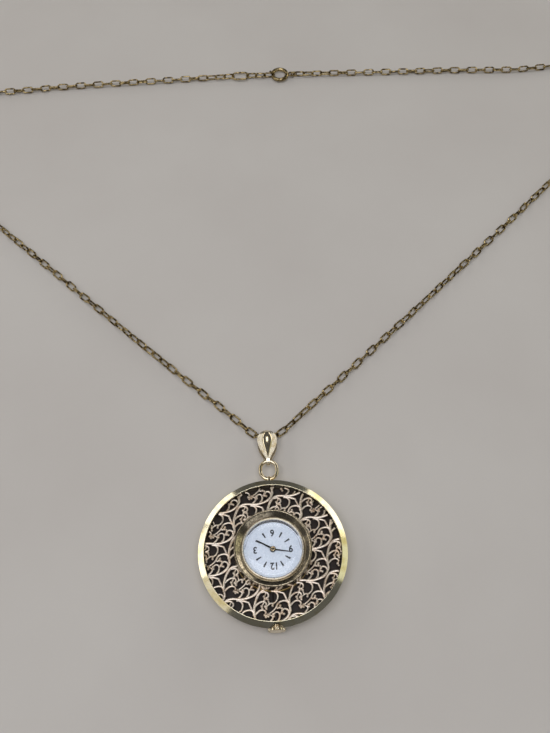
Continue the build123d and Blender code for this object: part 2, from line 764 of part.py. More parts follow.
# Centre wheel, third, fourth and escape wheels, each with its pinion and arbor
centre_wheel_low = works_high - centre_wheel_thickness - wheel_thickness
third_wheel_low = centre_wheel_low - 2 * wheel_thickness
fourth_wheel_low = third_wheel_low - 3 * wheel_thickness
escape_wheel_low = fourth_wheel_low - 4 * wheel_thickness
centre = toothed(centre_teeth, centre_module, centre_wheel_low, centre_wheel_low + centre_wheel_thickness)
centre += toothed(centre_pinion_teeth, barrel_module, works_low, barrel_low + barrel_rim_height)
centre += arbor(centre_arbor_diameter, 0, 0, works_low, dial_high + hand_gap)
nodes["centre_wheel"] = centre
third = toothed(third_teeth, third_module, third_wheel_low, third_wheel_low + wheel_thickness)
third_phase = meshing(third_direction_degrees, centre_teeth, third_pinion_teeth)
third += toothed(third_pinion_teeth, centre_module, third_wheel_low + wheel_thickness, works_high, third_phase)
third += arbor(arbor_diameter, 0, 0)
nodes["third_wheel"] = Pos(third_x, third_y, 0) * third
fourth = toothed(fourth_teeth, fourth_module, fourth_wheel_low, fourth_wheel_low + wheel_thickness)
fourth_phase = meshing(fourth_direction_degrees, third_teeth, fourth_pinion_teeth)
fourth += toothed(fourth_pinion_teeth, third_module, fourth_wheel_low + wheel_thickness,
                  third_wheel_low + wheel_thickness, fourth_phase)
fourth += arbor(arbor_diameter, 0, 0)
nodes["fourth_wheel"] = Pos(fourth_x, fourth_y, 0) * fourth

# Escape wheel: leaning pointed teeth
escape_points = []
for k in range(escape_teeth):
    turn = 360 * k / escape_teeth
    pitch_degrees = 360 / escape_teeth
    escape_points.append(polar(escape_diameter / 2, turn))
    escape_points.append(polar(escape_diameter / 2 - wheel_rim, turn + pitch_degrees / 6))
    escape_points.append(polar(escape_diameter / 2 - wheel_rim, turn + pitch_degrees * 2 / 3))
escape = Pos(0, 0, escape_wheel_low) * extrude(make_face(Polyline(*escape_points, close=True)), wheel_thickness)
escape_phase = meshing(escape_direction_degrees, fourth_teeth, escape_pinion_teeth)
escape += toothed(escape_pinion_teeth, fourth_module, escape_wheel_low + wheel_thickness,
                  fourth_wheel_low + wheel_thickness, escape_phase)
escape += arbor(arbor_diameter * 0.8, 0, 0)
nodes["escape_wheel"] = Pos(escape_x, escape_y, 0) * escape

# Pallet fork: two pins that meet the escape wheel, and a forked lever to the roller
fork_reach = math.hypot(balance_x - pallet_x, balance_y - pallet_y) - roller_pin_circle_radius
fork_reach -= roller_pin_diameter
fork_low = escape_wheel_low
lever = Box(fork_reach, fork_width, wheel_thickness, align=(Align.MIN, Align.CENTER, Align.MIN))
mouth = Box(4 * roller_pin_diameter, fork_slot_width, wheel_thickness * 3)
fork = lever - Pos(fork_reach, 0, 0) * mouth
arms = Box(fork_width, escape_diameter * 0.6, wheel_thickness,
           align=(Align.CENTER, Align.CENTER, Align.MIN))
fork = Pos(0, 0, fork_low) * (fork + arms)
fork += arbor(arbor_diameter * 0.8, 0, 0)
nodes["pallet_fork"] = Pos(pallet_x, pallet_y, 0) * Rot(0, 0, to_balance) * fork

# Balance wheel with its staff, roller and impulse pin
balance_low = works_low + balance_thickness
balance_high = balance_low + balance_thickness
roller_low = fork_low - balance_thickness
balance = disc(balance_diameter, balance_low, balance_high)
balance -= pin(balance_diameter - 2 * balance_rim, balance_low - overrun, balance_high + overrun,
               sides=inner_sides)
spoke = Box(balance_diameter - balance_rim, balance_rim, balance_thickness,
            align=(Align.CENTER, Align.CENTER, Align.MIN))
balance += Pos(0, 0, balance_low) * spoke
balance += arbor(balance_staff_diameter, 0, 0, back_low, works_high)
balance += pin(roller_diameter, roller_low, fork_low - end_shake)
balance += pin(roller_pin_diameter, roller_low, fork_low + wheel_thickness, -roller_pin_circle_radius)
nodes["balance_wheel"] = Pos(balance_x, balance_y, 0) * Rot(0, 0, to_balance) * balance

# Hairspring: a flat spiral that ends in a stud under the main plate
spring_steps = small_sides * spring_turns
spring_low = fork_low + 2 * wheel_thickness
spring_line = []
for k in range(spring_steps + 1):
    part = k / spring_steps
    radius = spring_inner_radius + (spring_outer_radius - spring_inner_radius) * part
    spring_line.append(polar(radius, 360 * spring_turns * part))
spiral = extrude(band(spring_line, spring_strip, spring_strip), spring_height)
stud = Box(3 * spring_strip, 3 * spring_strip, works_high + end_shake - spring_low,
           align=(Align.CENTER, Align.CENTER, Align.MIN))
spiral += Pos(spring_outer_radius, 0, 0) * stud
nodes["hairspring"] = Pos(balance_x, balance_y, spring_low) * only_solid(spiral)

# Motion works: cannon pinion, minute wheel and hour wheel
cannon_low = recess_floor + end_shake
cannon_high = dial_high + 4 * hand_gap + hand_thickness
wheel_high = cannon_low + motion_wheel_thickness
cannon = toothed(cannon_teeth, motion_module, cannon_low, wheel_high)
cannon += pin(cannon_diameter, wheel_high, cannon_high)
cannon -= pin(centre_arbor_diameter + 2 * pivot_clearance, cannon_low - overrun,
              dial_high + hand_gap + end_shake, bore=True)
nodes["cannon_pinion"] = cannon
minute_phase = meshing(minute_direction_degrees, cannon_teeth, minute_wheel_teeth)
minute = toothed(minute_wheel_teeth, motion_module, cannon_low, wheel_high, minute_phase)
hour_low = wheel_high + end_shake
minute += toothed(minute_pinion_teeth, hour_module, wheel_high, hour_low + motion_wheel_thickness)
nodes["minute_wheel"] = Pos(minute_x, minute_y, 0) * minute
hour_phase = meshing(minute_direction_degrees + 180, minute_pinion_teeth, hour_wheel_teeth)
hour = toothed(hour_wheel_teeth, hour_module, hour_low, hour_low + motion_wheel_thickness, hour_phase)
hour_pipe_high = dial_high + hand_gap + hand_thickness
hour += pin(hour_pipe_diameter, hour_low + motion_wheel_thickness, hour_pipe_high)
hour -= pin(cannon_diameter + 2 * pivot_clearance, hour_low - overrun, hour_pipe_high + overrun, bore=True)
nodes["hour_wheel"] = hour

# Dial with the hole for the hour pipe
dial = disc(dial_diameter, dial_low, dial_high)
dial -= pin(hour_pipe_diameter + 2 * fit_clearance, dial_low - overrun, dial_high + overrun, bore=True)
nodes["dial"] = dial


def hand(length, hub_diameter, bore_diameter, low, tip_width_share, degrees):
    """A straight hand that widens towards its tip, with a round hub."""
    half = hand_width / 2
    blade = make_face(Polyline(
        (0, -half * 0.5), (length * 0.8, -half), (length, -half * tip_width_share),
        (length, half * tip_width_share), (length * 0.8, half), (0, half * 0.5),
        close=True,
    ))
    flat = extrude(blade, hand_thickness)
    flat += pin(hub_diameter, 0, hand_thickness, sides=inner_sides)
    if bore_diameter:
        flat -= pin(bore_diameter + 2 * hand_fit, -overrun, hand_thickness + overrun)
    # the dial's twelve is at -Y, and its hours run clockwise seen from the front
    return Pos(0, 0, low) * Rot(0, 0, -90 - degrees) * flat


hour_hand_low = hour_pipe_high - hand_thickness
nodes["hour_hand"] = only_solid(hand(
    hour_hand_length, hand_hub_diameter * 1.2, hour_pipe_diameter, hour_hand_low, 0.6, hour_hand_degrees,
))
minute_hand_low = cannon_high - hand_thickness
nodes["minute_hand"] = only_solid(hand(
    minute_hand_length, minute_hub_diameter, cannon_diameter, minute_hand_low, 0.6, minute_hand_degrees,
))

# Where the end ring, the tail of links, the spring ring and the jump ring lie, in a row
chain_height = chain_width / 2 + chain_rest_gap
ring_height = chain_height
end_ring_x = left_end_x + end_ring_length / 2
first_link_x = end_ring_x + end_ring_length / 2 - ring_wire - link_wire - link_slack + link_length / 2
clasp_x = first_link_x + (tail_links - 1) * link_pitch + link_length / 2 - link_wire - link_slack
clasp_x += clasp_diameter / 2 - (clasp_tube - tongue_diameter) / 2 - tongue_diameter
clasp_middle = (clasp_diameter - clasp_tube) / 2
eye_middle = (clasp_eye_diameter - eye_width) / 2
eye_x = clasp_diameter / 2 + eye_middle - eye_bite
jump_middle = (chain_width - link_wire) / 2
jump_ring_x = clasp_x + eye_x + link_slack + jump_middle
right_end_x = jump_ring_x + chain_width / 2

# Chain route on the surface, from the bail to both ends of the clasp
fold_start = 3.0
left_route = [
    (0, fold_y, fold_height), (-fold_start, fold_y, fold_height),
    (-8.0, 36.9, chain_height), (-19.5, 47.6, chain_height), (-43.0, 70.3, chain_height),
    (-76.9, 104.0, chain_height), (-93.5, 119.5, chain_height), (-107.0, 133.5, chain_height),
    (-115.5, 144.0, chain_height), (-117.0, 154.0, chain_height), (-109.5, 161.5, chain_height),
    (-97.5, 161.8, chain_height), (-82.7, 159.8, chain_height), (-62.9, 161.5, chain_height),
    (-36.3, 162.4, chain_height), (left_end_x, clasp_y, chain_height),
]
right_route = [
    (0, fold_y, fold_height), (fold_start, fold_y, fold_height),
    (8.6, 36.7, chain_height), (20.6, 47.3, chain_height), (45.4, 69.5, chain_height),
    (80.3, 101.5, chain_height), (96.0, 116.3, chain_height), (112.0, 132.0, chain_height),
    (121.5, 144.0, chain_height), (124.5, 154.5, chain_height), (119.0, 162.5, chain_height),
    (107.5, 163.5, chain_height), (93.0, 161.3, chain_height), (71.7, 162.4, chain_height),
    (44.5, 162.8, chain_height), (right_end_x, clasp_y, chain_height),
]


def chain_tube(name, route):
    """The chain's outer form: an eight-sided tube along runs and tangent arcs."""
    points = [Vector(*p) for p in route]
    runs = [(b - a).length for a, b in zip(points, points[1:])]
    radii = []
    for k in range(1, len(points) - 1):
        turn = (points[k] - points[k - 1]).get_angle(points[k + 1] - points[k])
        radii.append(0.45 * min(runs[k - 1], runs[k]) / math.tan(math.radians(turn) / 2))
    path = FilletPolyline(*points, radius=radii)
    print(name, "radii", [round(r, 1) for r in radii])
    outline = RegularPolygon(chain_width / 2, 8, major_radius=False, rotation=22.5)
    start = Plane(origin=path @ 0, z_dir=path % 0)
    tube = sweep(start * outline, path=path)
    print(name, "length", round(path.length, 1), "volume", round(tube.volume, 1),
          "section x length", round(outline.area * path.length, 1))
    return tube


nodes["chain_left"] = chain_tube("chain_left", left_route)
nodes["chain_right"] = chain_tube("chain_right", right_route)


# End ring of the left run, three links, the spring ring with its eye, and the jump ring
end_ring = oval_ring(end_ring_length, end_ring_width, ring_wire)
nodes["end_ring"] = Pos(end_ring_x, clasp_y, ring_height) * end_ring
link = oval_ring(link_length, chain_width, link_wire)
links = []
for k in range(tail_links):
    place = Pos(first_link_x + k * link_pitch, clasp_y, ring_height)
    links.append(place * Rot(0 if k % 2 else 90, 0, 0) * link)
nodes["tail_links"] = Compound(children=[piece.solid() for piece in links])
mouth_half = clasp_mouth_degrees / 2


def ring_arc(radius, sides, start, sweep_degrees):
    """A length of ring round the clasp's centre, from one angle on."""
    outline = Pos(clasp_middle, 0) * RegularPolygon(radius, sides, major_radius=sides > 4, rotation=180 / sides)
    return Rot(0, 0, start) * revolve(Plane.XZ * outline, Axis.Z, sweep_degrees)


tube_ring = ring_arc(clasp_tube / 2, 6, 180 + mouth_half, 360 - clasp_mouth_degrees)
bore_degrees = trigger_degrees + tongue_hold_degrees + mouth_half
tube_ring -= ring_arc(tongue_diameter / 2 + tongue_clearance, 4, 180 - mouth_half - bore_degrees, bore_degrees)
slot_degrees = trigger_degrees + post_degrees
slot_start = 180 - mouth_half - post_degrees - trigger_degrees - slot_margin_degrees
slot_ring = Pos(clasp_middle + clasp_tube / 2, 0) * Rectangle(clasp_tube, post_width + 2 * tongue_clearance)
slot_ring = revolve(Plane.XZ * slot_ring, Axis.Z, slot_degrees + slot_margin_degrees)
tube_ring -= Rot(0, 0, slot_start) * slot_ring
clasp_eye = pin(clasp_eye_diameter, -eye_width / 2, eye_width / 2, sides=inner_sides)
clasp_eye -= pin(clasp_eye_diameter - 2 * eye_width, -eye_width, eye_width, sides=inner_sides)
clasp_ring = tube_ring + Pos(eye_x, 0, 0) * clasp_eye
nodes["clasp_ring"] = Pos(clasp_x, clasp_y, ring_height) * only_solid(clasp_ring)
tongue = ring_arc(tongue_diameter / 2, 4, 180 - mouth_half - tongue_hold_degrees,
                  tongue_hold_degrees + clasp_mouth_degrees - mouth_gap_degrees)
post = Box(clasp_tube, post_width, post_width, align=(Align.MIN, Align.CENTER, Align.CENTER))
post = Rot(0, 0, 180 - mouth_half - post_degrees / 2 - slot_margin_degrees / 2) * Pos(clasp_middle, 0, 0) * post
nodes["clasp_trigger"] = Pos(clasp_x, clasp_y, ring_height) * only_solid(tongue + post)
jump_ring = Rot(90, 0, 0) * oval_ring(chain_width, chain_width, link_wire)
nodes["jump_ring"] = Pos(jump_ring_x, clasp_y, ring_height) * jump_ring

for name, shape in nodes.items():
    export_step(shape, f"parts/{name}.step")
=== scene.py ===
"""Pendant watch: a round openwork case with a small watch in its middle, on a long cable chain."""

import json
import logging
import math
import random
from bisect import bisect_left
from collections.abc import Iterable, Sequence
from dataclasses import dataclass, field
from enum import Enum
from itertools import accumulate, groupby

import bmesh
import bpy
from mathutils import Matrix, Vector

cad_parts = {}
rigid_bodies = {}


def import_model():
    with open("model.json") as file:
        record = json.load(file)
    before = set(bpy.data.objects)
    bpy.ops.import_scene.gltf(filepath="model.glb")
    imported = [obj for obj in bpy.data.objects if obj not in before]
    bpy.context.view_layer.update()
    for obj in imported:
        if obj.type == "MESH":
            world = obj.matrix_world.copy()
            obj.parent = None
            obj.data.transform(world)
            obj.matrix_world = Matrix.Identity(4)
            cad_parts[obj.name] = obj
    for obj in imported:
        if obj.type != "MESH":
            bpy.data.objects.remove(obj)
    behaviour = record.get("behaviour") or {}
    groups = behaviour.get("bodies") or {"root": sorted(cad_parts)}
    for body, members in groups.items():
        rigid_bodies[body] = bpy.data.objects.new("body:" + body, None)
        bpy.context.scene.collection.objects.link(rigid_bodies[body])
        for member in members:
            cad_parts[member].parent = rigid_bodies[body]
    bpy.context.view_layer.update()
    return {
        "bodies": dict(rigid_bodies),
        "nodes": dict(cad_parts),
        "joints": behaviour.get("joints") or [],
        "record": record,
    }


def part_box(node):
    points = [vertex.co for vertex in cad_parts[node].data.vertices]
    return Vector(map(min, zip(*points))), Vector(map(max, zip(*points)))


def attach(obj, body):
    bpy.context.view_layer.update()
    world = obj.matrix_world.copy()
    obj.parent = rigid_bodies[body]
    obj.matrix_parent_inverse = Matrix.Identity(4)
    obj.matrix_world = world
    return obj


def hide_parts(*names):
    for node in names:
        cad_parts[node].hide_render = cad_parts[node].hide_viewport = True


MM = 0.001
HALF_TURN, QUARTER_TURN = math.pi, math.pi / 2
TO_METRES = Matrix.Diagonal((MM, MM, MM, 1))
log = logging.getLogger("pendant_watch")

Shape = bmesh.types.BMesh
Socket = bpy.types.NodeSocket
Flat = tuple[float, float]
Point = tuple[float, float, float]
Profile = tuple[Flat, ...]


# ---- finishes


def linear(colour: str) -> tuple[float, float, float, float]:
    """Turns an sRGB hex colour into Blender's linear red, green, blue and an alpha of 1."""
    digits = colour.lstrip("#")
    parts = [int(digits[k:k + 2], 16) / 255 for k in (0, 2, 4)]
    red, green, blue = (p / 12.92 if p <= 0.04045 else ((p + 0.055) / 1.055) ** 2.4 for p in parts)
    return red, green, blue, 1.0


def add_node(tree: bpy.types.NodeTree, kind: str, settings: dict | None = None, **inputs) -> bpy.types.Node:
    """Adds one node with its settings and links.

    Args:
        tree: the tree that gets the node.
        kind: the node's type name.
        settings: properties of the node, such as its operation.
        inputs: input values or sockets to link, by input name with _ for a space, or s0, s1 by place.

    Returns:
        The new node.
    """
    node = tree.nodes.new(kind)
    for name, value in (settings or {}).items():
        setattr(node, name, value)
    for name, value in inputs.items():
        place = int(name[1:]) if name[0] == "s" and name[1:].isdigit() else name.replace("_", " ")
        socket = node.inputs[place]
        if isinstance(value, Socket):
            tree.links.new(value, socket)
        else:
            socket.default_value = value
    return node


class Nodes:
    """The node tree of one material, with the nodes that the finishes share."""

    def __init__(self, name: str) -> None:
        """Starts an empty material of this name."""
        self.material = bpy.data.materials.new(name)
        self.material.use_nodes = True
        self.tree = self.material.node_tree
        self.tree.nodes.clear()
        self.place = self.add("ShaderNodeTexCoord").outputs["Object"]

    def add(self, kind: str, settings: dict | None = None, **inputs) -> bpy.types.Node:
        """Adds a node to this tree, as add_node does."""
        return add_node(self.tree, kind, settings, **inputs)

    def noise(self, size_mm: float, detail: float) -> Socket:
        """Gives noise whose spots are about this size."""
        return self.add("ShaderNodeTexNoise", Vector=self.place, Scale=1 / (size_mm * MM), Detail=detail).outputs["Fac"]

    def spread(self, value: Socket, bounds: Flat, onto: Flat = (0.0, 1.0), edges: str = "LINEAR") -> Socket:
        """Spreads what lies between two bounds onto another range."""
        return self.add("ShaderNodeMapRange", {"interpolation_type": edges}, Value=value, From_Min=bounds[0],
                        From_Max=bounds[1], To_Min=onto[0], To_Max=onto[1]).outputs["Result"]

    def close(self, shader: Socket) -> bpy.types.Material:
        """Links a shader to the output and returns the material."""
        self.add("ShaderNodeOutputMaterial", Surface=shader)
        return self.material


@dataclass(frozen=True)
class Surface:
    """What all opaque finishes share: two tones in clouds, and a grain in gloss and relief."""

    name: str
    main: str
    other: str
    roughness: float
    cloud_mm: float = 2.5
    cloud_detail: float = 5.0
    cloud_range: Flat = (0.45, 0.75)
    cloud_edges: str = "SMOOTHSTEP"
    grain_mm: float = 0.25
    grain_detail: float = 4.0
    gloss_range: Flat = (0.3, 0.7)
    gloss_shares: Flat = (0.75, 1.35)
    relief_mm: float = 0.004
    relief: float = 0.5
    metallic: float = 1.0
    coat: float = 0.0

    def texture(self, nodes: Nodes) -> tuple[Socket, Socket, Socket]:
        """Gives the textures of the tone, the gloss and the relief: clouds, and a fine grain for the last two."""
        grain = nodes.noise(self.grain_mm, self.grain_detail)
        return nodes.noise(self.cloud_mm, self.cloud_detail), grain, grain

    def material(self) -> bpy.types.Material:
        """Makes the node material from its two tones and its textures."""
        nodes = Nodes(self.name)
        tone, gloss, height = self.texture(nodes)
        colour = nodes.add("ShaderNodeMix", {"data_type": "RGBA"}, s6=linear(self.main), s7=linear(self.other),
                           s0=nodes.spread(tone, self.cloud_range, edges=self.cloud_edges))
        low, high = (min(1.0, self.roughness * share) for share in self.gloss_shares)
        relief = nodes.add("ShaderNodeBump", Strength=self.relief, Distance=self.relief_mm * MM, Height=height)
        return nodes.close(nodes.add(
            "ShaderNodeBsdfPrincipled", Metallic=self.metallic, Coat_Weight=self.coat,
            Base_Color=colour.outputs["Result"], Roughness=nodes.spread(gloss, self.gloss_range, (low, high)),
            Normal=relief.outputs["Normal"]).outputs["BSDF"])


class PlatedMetal(Surface):
    """Gilt plate over brass, or plain metal: bright and a little cloudy."""


@dataclass(frozen=True)
class TurnedMetal(Surface):
    """Plated metal faced on a lathe: fine rings round the watch axis that spread the highlights."""

    cloud_mm: float = 1.6
    cloud_detail: float = 6.0
    cloud_range: Flat = (0.35, 0.68)
    cloud_edges: str = "LINEAR"
    gloss_shares: Flat = (0.7, 1.4)
    relief_mm: float = 0.003
    relief: float = 0.4
    ring_mm: float = 0.22
    # Rings per unit of the wave node at a scale of 1.
    unit_rings: int = 20

    def texture(self, nodes: Nodes) -> tuple[Socket, Socket, Socket]:
        """Gives clouds for the tone and the gloss, and rings about the Z axis for the relief."""
        clouds = nodes.noise(self.cloud_mm, self.cloud_detail)
        rings = nodes.add("ShaderNodeTexWave", {"wave_type": "RINGS", "rings_direction": "Z"}, Vector=nodes.place,
                          Scale=1 / (self.ring_mm * MM * self.unit_rings), Distortion=0.6, Detail=2.0)
        return clouds, clouds, rings.outputs["Fac"]


@dataclass(frozen=True)
class Coating(Surface):
    """Paint, lacquer, print or blackening: a coloured coat with a slight mottle and grain."""

    cloud_mm: float = 1.2
    cloud_detail: float = 6.0
    cloud_range: Flat = (0.35, 0.7)
    cloud_edges: str = "LINEAR"
    grain_mm: float = 0.12
    grain_detail: float = 3.0
    gloss_shares: Flat = (0.85, 1.15)
    relief_mm: float = 0.002
    metallic: float = 0.0


@dataclass(frozen=True)
class Acrylic:
    """Pressed acrylic watch crystal: clear, with a faint blue tint and handling haze."""

    name: str = "pressed_acrylic_crystal"
    tint: str = "#fafcff"
    ior: float = 1.49
    specular: float = 0.3
    haze_mm: float = 3.0
    haze_range: Flat = (0.45, 0.8)
    haze_roughness: Flat = (0.015, 0.09)

    def material(self) -> bpy.types.Material:
        """Makes the node material: clear acrylic that lets the light through to the dial."""
        nodes = Nodes(self.name)
        gloss = nodes.spread(nodes.noise(self.haze_mm, detail=6.0), self.haze_range, self.haze_roughness)
        clear = nodes.add("ShaderNodeBsdfPrincipled", Base_Color=linear(self.tint), IOR=self.ior,
                          Transmission_Weight=1.0, Specular_IOR_Level=self.specular, Roughness=gloss)
        open_way = nodes.add("ShaderNodeBsdfTransparent", Color=linear(self.tint))
        ray = nodes.add("ShaderNodeLightPath")
        return nodes.close(nodes.add("ShaderNodeMixShader", s0=ray.outputs["Is Shadow Ray"], s1=clear.outputs["BSDF"],
                                     s2=open_way.outputs["BSDF"]).outputs["Shader"])


class Finish(Enum):
    """Every finish on the watch, by what it is made of and how."""

    # Polished gilt hoop: mirror-like, cloudy where the plate is thin, with an olive cast.
    HOOP = PlatedMetal("polished_gilt_plate", "#efe8cc", "#d8c894", 0.12, cloud_mm=3.5)
    # Satin gilt openwork, stamped and tumbled: pale, a little pink, soft highlights.
    OPENWORK = PlatedMetal("tumbled_pink_gilt_plate", "#fdf0e2", "#ecd3ba", 0.3, cloud_mm=1.3, grain_mm=0.18)
    # Bezel faced on a lathe and long worn, so its gilt has gone dull.
    BEZEL = TurnedMetal("lathe_faced_gilt", "#bcb09a", "#746a56", 0.17, cloud_mm=0.45)
    # Lip rolled over the crystal and burnished to a pale sheen.
    LIP = PlatedMetal("burnished_pale_lip", "#fff8e8", "#f4e6cc", 0.3, cloud_mm=1.0)
    # Pale gilt boss of the bail and fixed loop, hand polished.
    BAIL = PlatedMetal("polished_pale_gilt", "#f0e4c8", "#c9b183", 0.09, cloud_mm=2.0)
    # Band of the bail, brushed to a soft sheen.
    BAND = PlatedMetal("brushed_pale_gilt", "#f6eedc", "#dccaa4", 0.3, cloud_mm=1.2, grain_mm=0.1)
    # Chain gilt in two tones: a dark one in random clouds about a millimetre across.
    CHAIN = PlatedMetal("antique_gilt_wire", "#cdb888", "#4a3a20", 0.25, cloud_mm=0.9, cloud_range=(0.38, 0.62))
    # Crown, fluted and plated.
    CROWN = PlatedMetal("knurled_gilt_plate", "#f4e8cc", "#c8b084", 0.2, cloud_mm=0.8)
    # Back, faced on a lathe.
    BACK = TurnedMetal("turned_gilt_back", "#d9c48c", "#b89d60", 0.22, ring_mm=0.3)
    # Pan in matt dark brown: painted shade, the colour standing in for the shade deep in the case behind the openwork.
    PAN_PAINTED_SHADE = Coating("pan_brown_painted_shade", "#28160d", "#120906", 0.55, cloud_mm=0.8)
    # Near-black ring round the dial's opening: painted shade, standing in for the shaded inner wall above the dial.
    SURROUND_PAINTED_SHADE = Coating("surround_black_painted_shade", "#060608", "#0b0b0e", 0.75, cloud_mm=0.5)
    # Silvered dial, fine sprayed grain.
    DIAL = Coating("silvered_dial_paint", "#d4d9e0", "#c4ccd6", 0.45, cloud_mm=0.5, grain_mm=0.06, metallic=0.1)
    # Black pad print.
    PRINT = Coating("black_pad_print", "#14151a", "#1d1f26", 0.4, cloud_mm=0.3)
    # Grey track near the dial's edge.
    TRACK = Coating("grey_pad_print", "#8b919c", "#9aa0aa", 0.45, cloud_mm=0.3)
    # Hands: blackened steel, polished.
    HANDS = Coating("blackened_steel", "#17130f", "#2a1f14", 0.22, cloud_mm=0.7, metallic=0.6, coat=0.4)
    # Gilt ring round the hub of the hands.
    HUB = PlatedMetal("gilt_hub", "#e6d0a8", "#b8945c", 0.2, cloud_mm=0.5)
    # Movement brass, with a satin grain.
    BRASS = PlatedMetal("satin_movement_brass", "#e0c27c", "#bf9a52", 0.3, cloud_mm=1.5)
    # Movement steel, hardened and polished.
    STEEL = PlatedMetal("hardened_steel", "#c9ccd1", "#8f949c", 0.2, cloud_mm=1.0)
    # Crystal, pressed from clear acrylic.
    CRYSTAL = Acrylic()


_made: dict[Finish, bpy.types.Material] = {}


def material_of(finish: Finish) -> bpy.types.Material:
    """Returns the finish's material, made once."""
    if finish not in _made:
        _made[finish] = finish.value.material()
    return _made[finish]


# ---- places, objects and mesh tools


def at(x: float, y: float, z: float) -> Matrix:
    """Gives the move to a place in millimetres."""
    return Matrix.Translation(Vector((x, y, z)) * MM)


def turn(angle: float, axis: str) -> Matrix:
    """Gives the turn by an angle in radians about an axis."""
    return Matrix.Rotation(angle, 4, axis)


def show(name: str, data: bpy.types.ID) -> bpy.types.Object:
    """Makes an object from its data and links it to the scene."""
    thing = bpy.data.objects.new(name, data)
    bpy.context.scene.collection.objects.link(thing)
    return thing


def mesh_of(bm: Shape, name: str) -> bpy.types.Mesh:
    """Writes a shape into a new mesh and frees it."""
    mesh = bpy.data.meshes.new(name)
    bm.to_mesh(mesh)
    bm.free()
    return mesh


def shape_of_curve(data: bpy.types.Curve) -> Shape:
    """Turns a curve into a shape and removes the curve."""
    helper = show(data.name, data)
    bpy.context.view_layer.update()
    mesh = bpy.data.meshes.new_from_object(helper)
    bm = bmesh.new()
    bm.from_mesh(mesh)
    bpy.data.objects.remove(helper)
    bpy.data.curves.remove(data)
    bpy.data.meshes.remove(mesh)
    return bm


def put(name: str, shape: Shape | bpy.types.Mesh, finish: Finish, body: str, nodes: Iterable[str] = (),
        smooth_degrees: float = 35.0) -> bpy.types.Object:
    """Makes a finished piece at the origin, ties it to its body and hides the CAD nodes that it stands for.

    Args:
        name: the piece's name.
        shape: its shape or mesh, in metres, in place.
        finish: its finish.
        body: the body that it rides on.
        nodes: the CAD nodes that it stands for.
        smooth_degrees: edges sharper than this stay sharp.

    Returns:
        The new object.
    """
    mesh = mesh_of(shape, name) if isinstance(shape, Shape) else shape
    mesh.materials.clear()
    mesh.materials.append(material_of(finish))
    mesh.shade_smooth()
    mesh.set_sharp_from_angle(angle=math.radians(smooth_degrees))
    piece = show(name, mesh)
    # Large flat faces keep their own normals beside the small faces of a rounded edge.
    weighted = piece.modifiers.new("weighted_normals", "WEIGHTED_NORMAL")
    weighted.keep_sharp, weighted.weight = True, 100
    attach(piece, body)
    if nodes:
        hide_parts(*nodes)
    log.info("%s: %d faces on %s", name, len(mesh.polygons), body)
    return piece


def closed_line(bm: Shape, points: Iterable[Point]) -> tuple[list, list]:
    """Adds a closed line to a shape and returns its vertices and edges."""
    corners = [bm.verts.new(p) for p in points]
    return corners, [bm.edges.new(pair) for pair in zip(corners, corners[1:] + corners[:1])]


def face_outwards(bm: Shape) -> None:
    """Turns every face's normal outwards."""
    bmesh.ops.recalc_face_normals(bm, faces=bm.faces)


def round_edges(bm: Shape, edges: Iterable[bmesh.types.BMEdge], width: float) -> None:
    """Rounds some edges of a shape by a width in millimetres."""
    bmesh.ops.bevel(bm, geom=list(edges), offset=width * MM, offset_type="OFFSET", segments=2, profile=0.5,
                    affect="EDGES", material=-1, clamp_overlap=True)


def spin(bm: Shape, geometry: list, steps: int, gap: float = 0.0) -> None:
    """Spins geometry round the Z axis in some steps, by a full turn less a gap in radians."""
    bmesh.ops.spin(bm, geom=geometry, cent=(0, 0, 0), axis=(0, 0, 1), dvec=(0, 0, 0), angle=2 * HALF_TURN - gap,
                   steps=steps, use_merge=not gap)


def lathe(profile: Profile, steps: int = 192, rounding: float = 0.0, sharp_degrees: float = 20.0) -> Shape:
    """Spins a closed profile round the watch axis and rounds its edges.

    Args:
        profile: (radius, height) points in millimetres, in order, closed from last to first.
        steps: parts of the full turn.
        rounding: width of the rounding of sharp edges, in millimetres.
        sharp_degrees: edges sharper than this are rounded.

    Returns:
        The closed shape, in metres.
    """
    weld = 1e-7
    bm = bmesh.new()
    corners, edges = closed_line(bm, ((r * MM, 0, z * MM) for r, z in profile))
    spin(bm, corners + edges, steps)
    bmesh.ops.remove_doubles(bm, verts=bm.verts, dist=weld)
    bmesh.ops.dissolve_degenerate(bm, dist=weld, edges=bm.edges)
    face_outwards(bm)
    if rounding:
        sharp = math.radians(sharp_degrees)
        round_edges(bm, [e for e in bm.edges if len(e.link_faces) == 2 and e.calc_face_angle() > sharp], rounding)
    return bm


def ring(width: float, length: float, wire: float, around: int = 24, section: int = 10,
         gap_degrees: float = 0.0) -> Shape:
    """Makes a round or oval wire ring, long in X, flat in XY, round the origin.

    Args:
        width: outer width, in millimetres.
        length: outer length, in millimetres.
        wire: diameter of the wire, in millimetres.
        around: parts round the ring.
        section: sides of the wire.
        gap_degrees: how much of the ring is left open, at -X.

    Returns:
        The ring, in metres.
    """
    bm = bmesh.new()
    gap = math.radians(gap_degrees)
    start = HALF_TURN + gap / 2 if gap else HALF_TURN / around
    bmesh.ops.create_circle(bm, cap_ends=gap > 0, segments=section, radius=wire / 2 * MM,
                            matrix=turn(start, "Z") @ at((width - wire) / 2, 0, 0) @ turn(QUARTER_TURN, "X"))
    spin(bm, [*bm.faces, *bm.edges, *bm.verts], around, gap)
    stretch, near_middle = (length - width) / 2 * MM, 1e-9
    for side in (-1, 1):
        bmesh.ops.translate(bm, verts=[v for v in bm.verts if v.co.x * side > near_middle], vec=(side * stretch, 0, 0))
    face_outwards(bm)
    return bm


def join(target: Shape, source: Shape, move: Matrix = Matrix.Identity(4), keep_source: bool = False) -> None:
    """Adds a moved copy of one shape to another, and frees the source unless it is used again."""
    mesh = mesh_of(source.copy() if keep_source else source, "part_of_a_piece")
    mesh.transform(move)
    target.from_mesh(mesh)
    bpy.data.meshes.remove(mesh)


